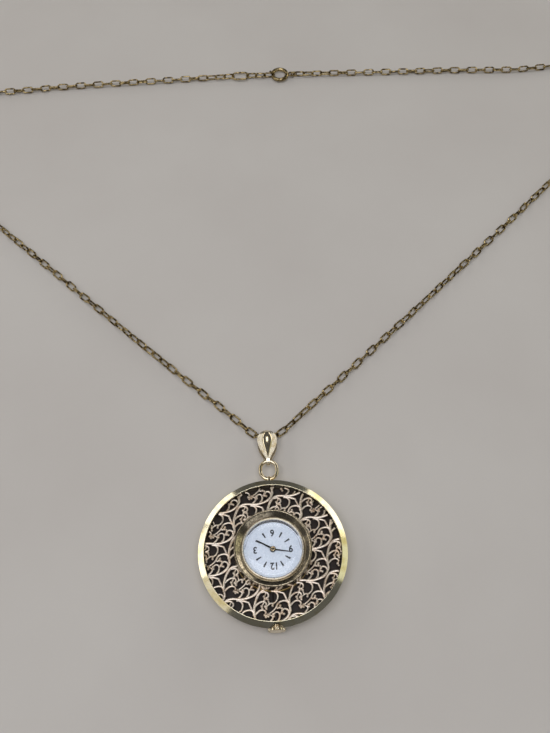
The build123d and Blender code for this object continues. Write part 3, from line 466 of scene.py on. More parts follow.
def cut(body: Shape, tool: Shape) -> bpy.types.Mesh:
    """Cuts one closed shape, the tool, from another and returns the mesh of what is left."""
    whole, taken = show("cut_body", mesh_of(body, "cut_body")), show("cut_tool", mesh_of(tool, "cut_tool"))
    way = whole.modifiers.new("cut", "BOOLEAN")
    way.operation, way.solver, way.object = "DIFFERENCE", "EXACT", taken
    bpy.context.view_layer.update()
    result = bpy.data.meshes.new_from_object(whole.evaluated_get(bpy.context.evaluated_depsgraph_get()))
    for thing in (whole, taken):
        mesh = thing.data
        bpy.data.objects.remove(thing)
        bpy.data.meshes.remove(mesh)
    return result


def cone(radii: Flat, length: float, segments: int, move: Matrix) -> Shape:
    """Makes a cylinder or cone of these radii and length in millimetres, long in Z, and moves it."""
    bm = bmesh.new()
    bmesh.ops.create_cone(bm, cap_ends=True, segments=segments, radius1=radii[0] * MM, radius2=radii[1] * MM,
                          depth=length * MM, matrix=move)
    return bm


def block(width: float, length: float, thickness: float, middle: float) -> Shape:
    """Makes a flat block in millimetres, long in Y, with its middle this far along Y."""
    bm = bmesh.new()
    bmesh.ops.create_cube(bm, size=1.0, matrix=at(0, middle, 0) @ TO_METRES
                          @ Matrix.Diagonal((width, length, thickness, 1)))
    return bm


def taper(bm: Shape, share: float, outer: bool) -> None:
    """Narrows the outer or the inner end of a block that is long in Y to a share of its width."""
    middle = sum(v.co.y for v in bm.verts) / len(bm.verts)
    for vert in bm.verts:
        if (vert.co.y > middle) == outer:
            vert.co.x *= share


def arc(centre: float, radius: float, start: float, sweep: float, parts: int) -> list[Vector]:
    """Gives the points of an arc in the plane, in millimetres and radians, round a centre on the first axis."""
    angles = [start + sweep * k / parts for k in range(parts + 1)]
    return [Vector((centre + radius * math.cos(a), radius * math.sin(a))) for a in angles]


def smooth_line(points: Sequence[Flat], steps: int = 5) -> list[Vector]:
    """Runs a smooth line through given points.

    Args:
        points: the points, in order.
        steps: parts between two points.

    Returns:
        The points of the line, the first and last being the given ones.
    """
    given = [Vector(p) for p in points]
    line = []
    for k in range(len(given) - 1):
        a, b = given[max(k - 1, 0)], given[k]
        c, d = given[k + 1], given[min(k + 2, len(given) - 1)]
        for s in range(steps):
            t = s / steps
            line.append(0.5 * ((2 * b) + (c - a) * t + (2 * a - 5 * b + 4 * c - d) * t * t
                               + (3 * b - a - 3 * c + d) * t ** 3))
    return line + [given[-1]]


def rod_on(line: Sequence[Vector], half_widths: Flat, half_height: float, height: float, sides: int = 8) -> Shape:
    """Lays a flattened round rod along a plane line.

    Args:
        line: three or more points of the centre line, in millimetres.
        half_widths: half the rod's width at its start and end, in millimetres, with an even taper between.
        half_height: half its height, in millimetres.
        height: the height of its centre, in millimetres.
        sides: sides of its section.

    Returns:
        The rod, in metres.
    """
    last = len(line) - 1
    bm = bmesh.new()
    bmesh.ops.create_cone(bm, cap_ends=True, segments=sides, radius1=1, radius2=1, depth=last)
    upright = [e for e in bm.edges if abs(e.verts[0].co.z - e.verts[1].co.z) > 0.5]
    bmesh.ops.subdivide_edges(bm, edges=upright, cuts=last - 1, use_grid_fill=True)
    for vert in bm.verts:
        k = min(max(round(vert.co.z + last / 2), 0), last)
        ahead = line[min(k + 1, last)] - line[max(k - 1, 0)]
        side = Vector((-ahead.y, ahead.x)).normalized()
        wide = half_widths[0] + (half_widths[1] - half_widths[0]) * k / last
        flat = line[k] + side * (vert.co.x * wide)
        vert.co = Vector((flat.x, flat.y, height + vert.co.y * half_height)) * MM
    face_outwards(bm)
    return bm


# ---- camera, floor and lights


@dataclass(frozen=True)
class Panel:
    """A soft light panel: its place, the point that it faces and its size in millimetres, its watts and colour."""

    name: str
    place: Point
    size: Flat
    watts: float
    colour: str = "#fffaf0"
    faces: Point = (0.0, 0.0, 0.0)

    def hang(self) -> None:
        """Hangs the panel."""
        data = bpy.data.lights.new(self.name, "AREA")
        data.shape, data.size, data.size_y = "RECTANGLE", self.size[0] * MM, self.size[1] * MM
        data.energy, data.color = self.watts, linear(self.colour)[:3]
        light = show(self.name, data)
        light.location = Vector(self.place) * MM
        light.rotation_euler = (Vector(self.faces) - Vector(self.place)).to_track_quat("-Z", "Y").to_euler()


@dataclass
class Studio:
    """The camera at the photograph's place, a plain pale floor, and soft light like that of a room's windows."""

    eye: Point = (-2.33, -53.88, 200.8)
    look: Point = (0.0246, 0.4688, -0.883)
    lens: float = 40.57
    clip: Flat = (0.01, 20.0)
    floor_size: float = 3000.0
    floor_height: float = -0.03
    floor: Coating = Coating("plain_pale_floor", "#d5d1cc", "#cfcac5", 0.9, cloud_mm=60.0, grain_mm=0.6,
                             relief_mm=0.01)
    room_colour: str = "#f2f2f5"
    room_strength: float = 0.1
    # Window-like panels at the left and the right, a weak one in front, and broad soft ones overhead.
    panels: tuple[Panel, ...] = (
        Panel("left_front_panel", (-548, -199, 456), (379, 208), 0.17),
        Panel("left_panel", (-595, 211, 387), (472, 221), 0.57),
        Panel("left_back_panel", (-415, 561, 247), (335, 195), 0.36),
        Panel("right_back_panel", (503, 503, 204), (504, 288), 0.8, "#fffbf2"),
        Panel("right_panel", (659, 93, 324), (407, 315), 0.32, "#f4f4d4"),
        Panel("front_panel", (322, -558, 364), (744, 142), 0.25, "#fbfbff"),
        Panel("top_panel", (-100, -150, 800), (760, 500), 3.2, "#fbfbff", faces=(-100, -150, 0)),
        Panel("back_top_panel", (0, 477, 763), (260, 160), 0.25))

    def build(self) -> None:
        """Makes the camera, the floor, the world and the lights."""
        self._camera()
        self._floor()
        self._world()
        for panel in self.panels:
            panel.hang()

    def _camera(self) -> None:
        """Puts the camera where the photograph was taken."""
        data = bpy.data.cameras.new("camera")
        data.lens, data.clip_start, data.clip_end = self.lens, *self.clip
        camera = show("camera", data)
        camera.location = Vector(self.eye) * MM
        camera.rotation_euler = Vector(self.look).to_track_quat("-Z", "Y").to_euler()
        bpy.context.scene.camera = camera

    def _floor(self) -> None:
        """Makes the plain pale floor, a hair under the watch."""
        bm = bmesh.new()
        bmesh.ops.create_grid(bm, x_segments=1, y_segments=1, size=self.floor_size / 2 * MM,
                              matrix=at(0, 0, self.floor_height))
        mesh = mesh_of(bm, "floor")
        mesh.materials.append(self.floor.material())
        show("floor", mesh)

    def _world(self) -> None:
        """Gives an even, dim room light."""
        world = bpy.data.worlds.new("room")
        bpy.context.scene.world = world
        world.use_nodes = True
        tree = world.node_tree
        tree.nodes.clear()
        room = add_node(tree, "ShaderNodeBackground", Color=linear(self.room_colour), Strength=self.room_strength)
        add_node(tree, "ShaderNodeOutputWorld", Surface=room.outputs["Background"])


# ---- chain


@dataclass
class Chain:
    """Long cable chain: two runs of oval wire links that lie on the surface, and the clasp row."""

    link_length: float = 3.9
    link_width: float = 2.15
    wire: float = 0.54
    pitch: float = 2.93
    height: float = 1.10
    cord_width: float = 2.16
    leave: Point = (0.0, 31.091, 1.8)
    # The last link ends this far before the end of its run.
    end_gap: float = 0.85
    # Degrees by which the links lean, sway along the run and are off at random, less so over the last few.
    lean: float = 45.0
    sway: float = 14.0
    sway_step: float = 0.31
    off_roll: float = 9.0
    off_yaw: float = 4.0
    calm_links: int = 6
    seed: int = 7
    row_y: float = 163.4
    end_ring_x: float = -2.6
    clasp_x: float = 10.64
    eye_ahead: float = 3.85
    left_route: Profile = (
        (-3.0, 31.091), (-8.0, 36.9), (-19.5, 47.6), (-43.0, 70.3), (-76.9, 104.0), (-93.5, 119.5), (-107.0, 133.5),
        (-115.5, 144.0), (-117.0, 154.0), (-109.5, 161.5), (-97.5, 161.8), (-82.7, 159.8), (-62.9, 161.5),
        (-36.3, 162.4), (-5.6, 163.4))
    right_route: Profile = (
        (3.0, 31.091), (8.6, 36.7), (20.6, 47.3), (45.4, 69.5), (80.3, 101.5), (96.0, 116.3), (112.0, 132.0),
        (121.5, 144.0), (124.5, 154.5), (119.0, 162.5), (107.5, 163.5), (93.0, 161.3), (71.7, 162.4),
        (44.5, 162.8), (16.485, 163.4))

    def build(self) -> None:
        runs = (self._run("chain_left", self.left_route, 0), self._run("chain_right", self.right_route, 1))
        for (piece, path, length), far_end, others in zip(runs, ("connector", "fitting"), self._clasp_row()):
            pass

    def _path(self, route: Profile) -> list[Vector]:
        """Reads the points of a run's smooth line, in metres, from the NURBS spline of its route."""
        places = [self.leave, (*route[0], self.leave[2])] + [(x, y, self.height) for x, y in route[1:]]
        data = bpy.data.curves.new("run_line", "CURVE")
        data.dimensions, data.resolution_u = "3D", 24
        spline = data.splines.new("NURBS")
        spline.points.add(len(places) - 1)
        for point, place in zip(spline.points, places):
            point.co = (*(Vector(place) * MM), 1)
        spline.order_u, spline.use_endpoint_u = 3, True
        bm = shape_of_curve(data)
        line = [v.co.copy() for v in bm.verts]
        bm.free()
        return line

    def _run(self, node: str, route: Profile, first_turn: int) -> tuple[bpy.types.Object, list[Vector], float]:
        """Strings links along a route.

        Args:
            node: the CAD node of the run.
            route: the route's points on the surface, in millimetres.
            first_turn: the number of the run, 0 or 1, which shifts the sway and the random draws of its links.

        Returns:
            The piece, its line's points and its length in metres.
        """
        line = self._path(route)
        stations = [0.0, *accumulate((b - a).length for a, b in zip(line, line[1:]))]
        start, end = self.pitch / 2 * MM, stations[-1] - self.end_gap * MM
        count = round((end - start) / (self.pitch * MM))
        step = (end - start) / count
        link = ring(self.link_width, self.link_length, self.wire, around=12, section=6)
        rng = random.Random(self.seed + first_turn)
        bm = bmesh.new()
        for k in range(count + 1):
            s = start + k * step
            place = min(bisect_left(stations, s), len(line) - 1) - 1
            share = (s - stations[place]) / (stations[place + 1] - stations[place])
            ahead = (line[min(place + 2, len(line) - 1)] - line[max(place - 1, 0)]).normalized()
            side = Vector((-ahead.y, ahead.x, 0)).normalized()
            frame = Matrix((ahead, side, ahead.cross(side))).transposed().to_4x4()
            calm = min(1.0, (count - k) / self.calm_links)
            sway = self.sway * math.sin(k * self.sway_step + first_turn)
            roll = calm * (self.lean + sway + rng.uniform(-self.off_roll, self.off_roll)) + 90 * ((count - k + 1) % 2)
            yaw = calm * rng.uniform(-self.off_yaw, self.off_yaw)
            join(bm, link, Matrix.Translation(line[place].lerp(line[place + 1], share)) @ frame
                 @ turn(math.radians(yaw), "Z") @ turn(math.radians(roll), "X"), keep_source=True)
        link.free()
        return self._wire(node + "_links", bm, node), line, stations[-1]

    @staticmethod
    def _wire(name: str, bm: Shape, node: str, smooth_degrees: float = 80) -> bpy.types.Object:
        """Puts a piece of the chain that stands for a CAD node."""
        return put(name, bm, Finish.CHAIN, "chain", [node], smooth_degrees)

    def _clasp_row(self) -> tuple[list, list]:
        """Makes the end ring, the tail links, the spring ring with its eye and the jump ring.

        Returns:
            The pieces on the left run's end, and those on the right run's end.
        """
        upright = turn(QUARTER_TURN, "X")
        end_ring, tail, clasp, jump = (bmesh.new() for _ in range(4))
        join(end_ring, ring(3.6, 6.0, 0.6, around=28, section=10), at(self.end_ring_x, self.row_y, self.height))
        tail_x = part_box("tail_links")[0][0] / MM
        for k in range(3):
            centre = at(tail_x + self.link_length / 2 + self.pitch * k, self.row_y, self.height)
            join(tail, ring(2.16, self.link_length, self.wire, around=20, section=8),
                 centre if k % 2 else centre @ upright)
        centre = at(self.clasp_x, self.row_y, self.height)
        join(clasp, ring(6.04, 6.04, 1.2, around=56, section=14, gap_degrees=40), centre)
        join(clasp, ring(2.2, 2.2, 0.5, around=20, section=8), centre @ at(self.eye_ahead, 0, 0))
        low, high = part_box("jump_ring")
        join(jump, ring(2.16, 2.16, 0.43, around=24, section=8),
             Matrix.Translation((Vector(low) + Vector(high)) / 2) @ upright)
        return ([self._wire("end_ring_wire", end_ring, "end_ring"), self._wire("tail_links_wire", tail, "tail_links"),
                 self._wire("spring_ring", clasp, "clasp_ring", 60), "clasp_trigger"],
                [self._wire("jump_ring_wire", jump, "jump_ring")])


# ---- case and bail


@dataclass
class OuterCase:
    """The hoop with its polished bevel and the crown's pocket, and the fixed loop on its foot."""

    hoop: Profile = (
        (16.5, 5.8), (16.6, 5.8), (18.0, 5.05), (17.0, 1.05), (16.0, 1.05), (16.0, 2.0), (16.7, 2.0), (16.7, 5.2),
        (16.5, 5.2))
    pocket_radius: float = 2.5
    pocket_depth: float = 3.0
    pocket_middle: Point = (0.0, -18.45, 3.15)
    loop_y: float = 21.74
    loop_height: float = 3.0
    loop_radius: float = 2.1
    loop_wire: float = 0.95
    loop_length: float = 5.75
    foot_from_y: float = 17.3
    # Radius of the foot at the loop and at the hoop, and how much it is flattened.
    foot_radii: Flat = (0.4275, 1.05)
    foot_flatness: float = 0.85

    def build(self) -> None:
        """Makes the hoop and the loop."""
        pocket = cone((self.pocket_radius, self.pocket_radius), self.pocket_depth, 64,
                      at(*self.pocket_middle) @ turn(QUARTER_TURN, "X"))
        hoop = cut(lathe(self.hoop, steps=256, rounding=0.03), pocket)
        put("case_hoop", hoop, Finish.HOOP, "case", ["case_rim"], 25)
        loop = bmesh.new()
        width = self.loop_radius * 2 + self.loop_wire
        join(loop, ring(width, self.loop_length, self.loop_wire, around=72, section=20),
             at(0, self.loop_y - (self.loop_length - width) / 2, self.loop_height) @ turn(QUARTER_TURN, "Z"))
        foot_end = self.loop_y - self.loop_radius
        join(loop, cone(self.foot_radii, foot_end - self.foot_from_y, 32,
                        at(0, (foot_end + self.foot_from_y) / 2, self.loop_height)
                        @ Matrix.Diagonal((1, 1, self.foot_flatness, 1)) @ turn(QUARTER_TURN, "X")))
        put("fixed_loop", loop, Finish.BAIL, "case", ["case_loop"], 50)


@dataclass
class Bail:
    """The band folded round the loop and the chain, a teardrop when seen from the front, and its polished boss.

    Its own frame has X across, Y along the band from the small fold's axis, and Z up through its front.
    """

    # Y and height of each fold's axis, and the fold's radius.
    small: Point = (23.84, 3.0, 1.15)
    large: Point = (31.091, 1.8, 1.75)
    thickness: float = 0.4
    columns: int = 40
    width: float = 5.0
    tip_width: float = 0.9
    taper_power: float = 1.15
    # The band is widest this far below its top, and no narrower than this share there.
    round_length: float = 2.2
    top_share: float = 0.22
    # What the camera sees of a step along Y and along Z.
    view: Flat = (0.795, 0.608)
    # The front is raised a little, but for a last part at the top.
    rise: float = 0.1
    flat_top: float = 0.25
    boss_past: float = 0.8
    boss_width: float = 2.7
    boss_height: float = 0.55
    boss_back: float = 0.2
    boss_sink: float = 0.03
    # Powers that place the boss's widest point, fill its outline and fill its height.
    boss_powers: Point = (1.9, 0.65, 0.8)

    def __post_init__(self) -> None:
        """Works out the folds' distance, the top and the move into the watch's frame."""
        along = Vector(self.large[:2]) - Vector(self.small[:2])
        self.reach = along.length
        self.top = self.reach + self.large[2]
        self.move = at(0, *self.small[:2]) @ turn(math.atan2(along.y, along.x), "X") @ TO_METRES

    def build(self) -> None:
        """Makes the band and the boss."""
        self._band()
        self._boss()

    def _outline(self) -> list[Vector]:
        """Draws the band's side outline in (y, z): the small fold, its back, the large fold and its front."""
        small, large = self.small[2], self.large[2]
        open_angle = math.asin((large - small) / self.reach)
        low = arc(0.0, small, QUARTER_TURN + open_angle, HALF_TURN - 2 * open_angle, 16)
        high = arc(self.reach, large, -QUARTER_TURN - open_angle, HALF_TURN + 2 * open_angle, 24)
        return (low + [low[-1].lerp(high[0], k / 24) for k in range(1, 24)]
                + high + [high[-1].lerp(low[0], k / 40) for k in range(1, 40)])

    def _band(self) -> None:
        """Draws the outline across from side to side, narrows it to the teardrop and thickens it."""
        bm = bmesh.new()
        _, edges = closed_line(bm, ((-1, p.x, p.y) for p in self._outline()))
        for _ in range(self.columns):
            grown = bmesh.ops.extrude_edge_only(bm, edges=edges)["geom"]
            moved = [g for g in grown if isinstance(g, bmesh.types.BMVert)]
            edges = [g for g in grown if isinstance(g, bmesh.types.BMEdge) and all(v in moved for v in g.verts)]
            bmesh.ops.translate(bm, verts=moved, vec=(2 / self.columns, 0, 0))
        for vert in bm.verts:
            x, y, z = vert.co
            front = z > 0 and 0 <= y <= self.top
            vert.co = Vector((x * self._half_width(y, z), y, z + (self._raised(y) if front else 0)))
        face_outwards(bm)
        bmesh.ops.solidify(bm, geom=list(bm.faces), thickness=self.thickness)
        face_outwards(bm)
        bmesh.ops.transform(bm, matrix=self.move, verts=bm.verts)
        put("folded_bail", bm, Finish.BAND, "bail", ["bail"], 40)

    def _boss(self) -> None:
        """Draws a ball out along the front of the band and sinks its back into it."""
        small, large = self.small[2], self.large[2]
        place, fill, fill_up = self.boss_powers
        bm = bmesh.new()
        bmesh.ops.create_uvsphere(bm, u_segments=48, v_segments=40, radius=1)
        for vert in bm.verts:
            share = 0.5 + math.asin(max(-1.0, min(1.0, vert.co.z))) / math.pi
            swell = math.sin(math.pi * share ** place) ** fill if 0 < share < 1 else 0.0
            flat = max(math.hypot(vert.co.x, vert.co.y), 1e-6)
            y = share * (self.reach + self.boss_past)
            floor = small + (large - small) * y / self.reach + self._raised(y)
            if y > self.reach:
                floor = math.sqrt(max(large ** 2 - (y - self.reach) ** 2, 0.0)) + self._raised(y, most=math.inf)
            up = vert.co.y / flat * self.boss_height * swell ** fill_up
            vert.co = Vector((vert.co.x / flat * self.boss_width / 2 * swell, y,
                              floor - self.boss_sink + up * (1 if up > 0 else self.boss_back)))
        face_outwards(bm)
        bmesh.ops.transform(bm, matrix=self.move, verts=bm.verts)
        put("bail_boss", bm, Finish.BAIL, "bail", smooth_degrees=60)

    def _raised(self, y: float, most: float = 1.0) -> float:
        """Gives how far the front is raised at a place, in millimetres."""
        return self.rise * min(most, max(0.0, self.top - self.flat_top - y))

    def _half_width(self, y: float, z: float) -> float:
        """Gives half the band's width at a place on its side outline: a teardrop when seen from the front."""
        tip, wide = self.tip_width / 2, self.width / 2
        over, up = self.view
        top = over * self.reach + self.large[2]
        widest, narrowest = top - self.round_length, up * self.small[2]
        seen = top if y > self.reach and abs(z) < up * self.large[2] else over * y + up * abs(z)
        if seen <= widest:
            share = min(max((seen - narrowest) / (widest - narrowest), 0.0), 1.0)
            return tip + (wide - tip) * math.sin(share * QUARTER_TURN) ** self.taper_power
        share = min((seen - widest) / self.round_length, 1.0)
        return wide * max(self.top_share, math.sqrt(max(0.0, 1 - share ** 2)))


# ---- openwork


@dataclass(frozen=True)
class Stroke:
    """One stem of the scroll motif, in hundredths of a lattice cell, with the radius of the bud at its end, if any."""

    points: Profile
    start_width: float
    end_width: float
    bud: float = 0.0
    height: float = 4.05


@dataclass
class Openwork:
    """The stamped sheet of leaning scrolls between the hoop and the bezel."""

    origin: Flat = (-9.5, 4.7)
    across: Flat = (8.3, 1.77)
    up: Flat = (1.38, 7.65)
    reach: int = 4
    inner: float = 9.2
    outer: float = 16.5
    half_height: float = 0.19
    seat: Profile = ((8.65, 3.8), (8.65, 4.3), (9.25, 4.3), (9.25, 3.8))
    # Buds keep this far from the inner and the outer edge.
    bud_margins: Flat = (0.2, 0.3)
    # A bud's twin: how far it lies to the side, ahead and below, and its share of the bud's radius.
    twin_side: float = 0.42
    twin_ahead: float = 0.3
    twin_below: float = 0.04
    twin_share: float = 0.8
    strokes: tuple[Stroke, ...] = (
        # The vine: an arc that comes from the right neighbour's stem and turns down into this cell's stem.
        Stroke(((104, 10), (101, 0), (95, -9), (84, -15), (67, -16.5), (50, -14), (36, -9), (23, -5.5), (12, -6),
                (5, -12), (-0.5, -24), (-3.5, -38), (-4, -52), (-2.5, -66), (1, -80), (4, -92)),
               0.56, 0.56, height=4.1),
        # The angular leaf window and its inner edge.
        Stroke(((-60, -15), (-50, -18), (-40, -22), (-22, -32), (-21.5, -33.5), (-13.5, -50), (-9, -58), (-3, -64)),
               0.50, 0.46),
        Stroke(((-55, -16), (-45.5, -23), (-39.5, -33), (-39.5, -45), (-44, -52), (-51, -55)), 0.48, 0.38, 0.36),
        # The scroll at the foot of the window, and the hook at the fork.
        Stroke(((-2, -76), (-4.5, -66), (-12, -58), (-22, -54.5), (-33, -56), (-38.5, -65), (-36, -73), (-29, -73)),
               0.54, 0.40, 0.38),
        Stroke(((1, -2), (-1.5, 9), (-7, 16), (-15, 19.5), (-22, 15), (-20.5, 8)), 0.50, 0.38, 0.38),
        # Two sprays that rise from the arc.
        Stroke(((-33, -16.5), (-26.5, -7), (-26.5, 5), (-31, 13), (-39, 16.5), (-45, 12)), 0.48, 0.36, 0.36),
        Stroke(((-59, -13), (-50, -6), (-45.5, 2), (-50, 9), (-60, 16)), 0.48, 0.36, 0.36),
        # Three leaves that curl from the stem into the next window.
        Stroke(((6, -10), (13, -10.5), (22, -12), (31, -20), (32.5, -30), (23.5, -32)), 0.50, 0.38, 0.38),
        Stroke(((-3.5, -50), (3, -44), (12, -40), (23, -42), (30, -50), (28, -58)), 0.50, 0.38, 0.38),
        Stroke(((0, -78), (5, -71), (14, -65.5), (25, -68), (32, -76), (30, -84)), 0.50, 0.38, 0.36),
        # Small florets past the window's edge, under its scroll and inside the leaves.
        Stroke(((-26.5, 5), (-23.5, 11), (-20, 16)), 0.36, 0.34, 0.34),
        Stroke(((23, -42), (20, -49), (17, -54)), 0.36, 0.32, 0.34),
        Stroke(((22, -12), (24, -20), (20, -26)), 0.36, 0.32, 0.32),
        Stroke(((-50, -54.5), (-56, -52), (-62, -54), (-69, -59)), 0.38, 0.34, 0.36),
        Stroke(((-61, -53.5), (-64, -46), (-67.5, -38)), 0.36, 0.32, 0.34),
        Stroke(((-38.5, -66), (-43, -73), (-50, -79), (-60, -84)), 0.38, 0.34, 0.36),
    )

    def build(self) -> None:
        """Repeats the motif on its slanting lattice, keeps what lies in the ring, and adds the seat ring."""
        bm = lathe(self.seat, steps=160, rounding=0.06)
        for column in range(-self.reach, self.reach + 1):
            for row in range(-self.reach, self.reach + 1):
                for stroke in self.strokes:
                    self._lay(bm, stroke, column, row)
        put("openwork_sheet", bm, Finish.OPENWORK, "case", ["filigree"], 50)

    def _place(self, column: int, row: int, shares: Flat) -> Flat:
        """Turns hundredths of a lattice cell into millimetres."""
        a, b = column + shares[0] / 100, row + shares[1] / 100
        return (self.origin[0] + a * self.across[0] + b * self.up[0],
                self.origin[1] + a * self.across[1] + b * self.up[1])

    def _lay(self, bm: Shape, stroke: Stroke, column: int, row: int) -> None:
        """Lays one stroke of the cell in this column and row, in the parts that lie in the ring."""
        line = smooth_line([self._place(column, row, p) for p in stroke.points])
        growth = (stroke.end_width - stroke.start_width) / (len(line) - 1)
        for inside, run in groupby(range(len(line)), lambda k: self.inner < line[k].length < self.outer):
            part = list(run)
            if inside and len(part) > 2:
                half_widths = [(stroke.start_width + growth * k) / 2 for k in (part[0], part[-1])]
                join(bm, rod_on([line[k] for k in part], half_widths, self.half_height, stroke.height))
        ahead = (line[-1] - line[-3]).normalized()
        twin = line[-1] + Vector((-ahead.y, ahead.x)) * self.twin_side + ahead * self.twin_ahead
        for place, below, share in ((line[-1], 0.0, 1.0), (twin, self.twin_below, self.twin_share)):
            if not (stroke.bud and self.inner + self.bud_margins[0] < place.length < self.outer - self.bud_margins[1]):
                break
            bmesh.ops.create_icosphere(bm, subdivisions=2, radius=stroke.bud * share * MM,
                                       matrix=at(place.x, place.y, stroke.height - below))


# ---- watch in the middle


@dataclass
class WatchHead:
    """The bezel, the crystal, the dial with its print, and the hands."""

    bezel: Profile = (
        (9.3, 4.3), (9.3, 8.3), (9.24, 8.42), (9.12, 8.49), (8.98, 8.5), (8.86, 8.45), (8.66, 8.3), (8.3, 8.02),
        (7.8, 7.62), (7.42, 7.32), (7.25, 7.25), (6.85, 7.25), (6.85, 6.15), (8.65, 6.15), (8.65, 4.3))
    lip: Profile = (
        (7.44, 7.32), (7.42, 7.55), (7.33, 7.66), (7.2, 7.68), (7.07, 7.6), (7.03, 7.46), (7.03, 7.3))
    surround: Profile = ((6.84, 6.11), (6.84, 7.24), (6.8, 7.24), (6.42, 6.11))
    crystal: Profile = (
        (0.0, 7.25), (7.0, 7.25), (7.0, 7.55), (6.94, 7.72), (6.76, 7.9), (6.45, 8.05), (6.0, 8.17), (5.3, 8.27),
        (4.4, 8.33), (3.2, 8.37), (1.8, 8.39), (0.0, 8.4))
    dial: Profile = ((0.0, 5.75), (7.6, 5.75), (7.6, 6.1), (0.0, 6.1))
    track: Profile = ((6.22, 6.1), (6.28, 6.1), (6.28, 6.112), (6.22, 6.112))
    collar: Profile = ((0.28, 6.76), (0.58, 6.76), (0.58, 6.84), (0.48, 6.92), (0.28, 6.92))
    pip: Profile = ((0.0, 6.72), (0.3, 6.72), (0.3, 6.9), (0.2, 6.95), (0.0, 6.95))
    dial_top: float = 6.1
    print_height: float = 0.012
    # Batons: reach from the axis, width, and the share of it at the inner end.
    baton_reach: Flat = (3.26, 4.62)
    baton_width: float = 0.46
    baton_taper: float = 0.55
    # Numerals: reach from the axis in X and Y, size, boldness, and squeeze in X.
    numeral_reach: Flat = (4.22, 3.95)
    numeral_size: float = 2.2
    numeral_bold: float = 0.07
    numeral_squeeze: float = 0.88
    hand_thickness: float = 0.1
    hand_taper: float = 0.45

    def build(self) -> None:
        """Makes every piece of the watch head."""
        for name, profile, steps, rounding, finish, body, slot, nodes, smooth_degrees in (
                ("bezel_ring", self.bezel, 224, 0.03, Finish.BEZEL, "case", "gilt_case", ["bezel"], 35),
                ("bezel_lip", self.lip, 224, 0.0, Finish.LIP, "case", "gilt_case", [], 60),
                # The surround's near-black is painted shade of the deep wall above the dial.
                ("dial_surround", self.surround, 160, 0.0, Finish.SURROUND_PAINTED_SHADE, "case", "dark_pan", [], 30),
                ("domed_crystal", self.crystal, 128, 0.0, Finish.CRYSTAL, "case", "crystal", ["crystal"], 50),
                ("dial_plate", self.dial, 160, 0.0, Finish.DIAL, "case", "dial", ["dial"], 35),
                ("dial_track", self.track, 128, 0.0, Finish.TRACK, "case", "dial", [], 35),
                ("hand_collar", self.collar, 64, 0.02, Finish.HUB, "minute", "hands", [], 35),
                ("hand_pip", self.pip, 48, 0.0, Finish.HANDS, "minute", "hands", [], 35)):
            put(name, lathe(profile, steps, rounding), finish, body, nodes, smooth_degrees)
        self._print()
        self._hand("hour", length=4.1, width=0.42, middle=6.29, hub=0.72, degrees=280.0)
        self._hand("minute", length=4.4, width=0.48, middle=6.71, hub=0.66, degrees=120.0)

    def _print(self) -> None:
        """Prints the batons and the numerals on the dial. Its 12 is at the crown."""
        bm = bmesh.new()
        start, end = self.baton_reach
        for hour in (1, 2, 4, 5, 7, 8, 10, 11):
            baton = block(self.baton_width, end - start, self.print_height, 0.0)
            taper(baton, self.baton_taper, outer=False)
            join(bm, baton, turn(HALF_TURN - math.radians(30 * hour), "Z")
                 @ at(0, (start + end) / 2, self.dial_top + self.print_height / 2))
        # Each stands upright for a reader at the 12; the 9 is the font's 6 without the half turn.
        across, along = self.numeral_reach
        for text, x, y, angle in (("12", 0, -along, HALF_TURN), ("3", -across, 0, HALF_TURN),
                                  ("6", 0, along, HALF_TURN), ("6", across, 0, 0.0)):
            join(bm, self._numeral(text), at(x, y, self.dial_top) @ turn(angle, "Z"))
        put("dial_print", bm, Finish.PRINT, "case", smooth_degrees=30)

    def _numeral(self, text: str) -> Shape:
        """Makes a numeral, centred on the origin, as a thin flat shape, in metres."""
        data = bpy.data.curves.new("numeral", "FONT")
        data.body, data.size = text, self.numeral_size * MM
        data.extrude, data.offset = self.print_height / 2 * MM, self.numeral_bold * MM
        bm = shape_of_curve(data)
        low, high = (Vector([end(v.co[a] for v in bm.verts) for a in range(3)]) for end in (min, max))
        bmesh.ops.translate(bm, verts=bm.verts, vec=-(low + high) / 2 + Vector((0, 0, (high.z - low.z) / 2)))
        bmesh.ops.scale(bm, verts=bm.verts, vec=(self.numeral_squeeze, 1, 1))
        return bm

    def _hand(self, body: str, length: float, width: float, middle: float, hub: float, degrees: float) -> None:
        """Makes a baton hand with a round hub.

        Args:
            body: the body that it rides on, which also names it.
            length: reach from the axis, in millimetres.
            width: its width, in millimetres.
            middle: height of its middle.
            hub: radius of its hub.
            degrees: where it points, clockwise from the 12.
        """
        hand = block(width, length, self.hand_thickness, length / 2)
        taper(hand, self.hand_taper, outer=True)
        round_edges(hand, hand.edges, 0.03)
        join(hand, cone((hub, hub), self.hand_thickness, 48, Matrix.Identity(4)))
        bmesh.ops.transform(hand, verts=hand.verts,
                            matrix=turn(HALF_TURN - math.radians(degrees), "Z") @ at(0, 0, middle))
        put(body + "_hand_baton", hand, Finish.HANDS, body, [body + "_hand"], 30)


# ---- crown


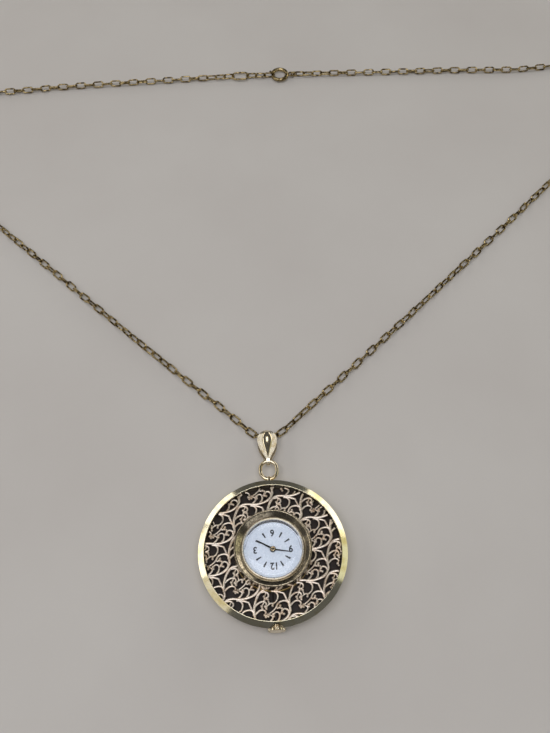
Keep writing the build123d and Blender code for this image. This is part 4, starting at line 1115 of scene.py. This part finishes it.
@dataclass
class Crown:
    """The fluted crown."""

    axis_height: float = 3.15
    start_y: float = -17.0
    flutes: int = 28
    grip_radius: float = 2.05
    groove_radius: float = 1.88
    # (distance outwards, share of the grip's radius) of the grip's rings.
    grip: Profile = ((0.0, 0.93), (0.08, 1.0), (1.24, 1.0), (1.34, 0.96))
    cap_rise: float = 0.11
    cap_radius: float = 1.1
    cap_rings: int = 6

    def build(self) -> None:
        """Makes the crown by drawing its fluted outline outwards, ring by ring."""
        bm = bmesh.new()
        outline = bmesh.ops.create_circle(bm, cap_ends=True, segments=self.flutes * 4, radius=self.grip_radius)
        for vert in outline["verts"][::4]:
            vert.co *= self.groove_radius / self.grip_radius
        end, end_share = self.grip[-1]
        narrowing = end_share - self.cap_radius / self.grip_radius
        angles = [QUARTER_TURN * k / self.cap_rings for k in range(1, self.cap_rings + 1)]
        cap = [(end + self.cap_rise * math.sin(a), end_share - narrowing * (1 - math.cos(a))) for a in angles]
        face = next(iter(bm.faces))
        here, scale = 0.0, 1.0
        for away, share in (*self.grip, *cap):
            if away > here:
                grown = bmesh.ops.extrude_face_region(bm, geom=[face])["geom"]
                face = next(g for g in grown if isinstance(g, bmesh.types.BMFace))
            bmesh.ops.translate(bm, verts=face.verts, vec=(0, 0, away - here))
            bmesh.ops.scale(bm, verts=face.verts, vec=(share / scale, share / scale, 1))
            here, scale = away, share
        face_outwards(bm)
        bmesh.ops.transform(bm, verts=bm.verts, matrix=at(0, self.start_y, self.axis_height)
                            @ turn(QUARTER_TURN, "X") @ TO_METRES)
        put("knurled_crown", bm, Finish.CROWN, "crown", ["crown"], 40)


# ---- what stays of the CAD


@dataclass
class CarriedOver:
    """The finishes of the CAD nodes, by material slot; those that no piece replaces stay as they are."""

    # The pan's dark brown in the dark_pan slot is painted shade of the deep case.
    by_slot: dict[str, Finish] = field(default_factory=lambda: {
        "gilt_case": Finish.BACK, "gilt_filigree": Finish.OPENWORK, "gilt_bail": Finish.BAIL,
        "gilt_chain": Finish.CHAIN, "gilt_crown": Finish.CROWN, "dark_pan": Finish.PAN_PAINTED_SHADE, "crystal": Finish.CRYSTAL,
        "dial": Finish.DIAL, "hands": Finish.HANDS, "movement_brass": Finish.BRASS, "movement_steel": Finish.STEEL})
    # The tube passes through the pan and takes the pan's dark brown painted shade.
    by_node: dict[str, Finish] = field(default_factory=lambda: {"stem_tube": Finish.PAN_PAINTED_SHADE})

    def dress(self, frame: dict) -> None:
        """Gives every CAD node of the loaded frame its finish."""
        for part in frame["record"]["subparts"]:
            node = frame["nodes"][part["node"]]
            finish = self.by_node.get(part["node"], self.by_slot[part["material_slot"]])
            if not node.material_slots:
                node.data.materials.append(None)
            for holder in node.material_slots:
                holder.link = "OBJECT"
                holder.material = material_of(finish)
            log.info("%s: CAD node dressed in %s", part["node"], finish.name)


def main() -> None:
    """Dresses the CAD nodes, then builds the camera and its room, the chain and the watch, in that order."""
    logging.basicConfig(level=logging.INFO, format="%(name)s %(message)s")
    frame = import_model()
    bpy.context.scene.view_settings.view_transform = "Standard"
    CarriedOver().dress(frame)
    for part in (Studio(), Chain(), OuterCase(), Bail(), Openwork(), WatchHead(), Crown()):
        part.build()
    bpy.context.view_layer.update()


if __name__ == "__main__":
    main()
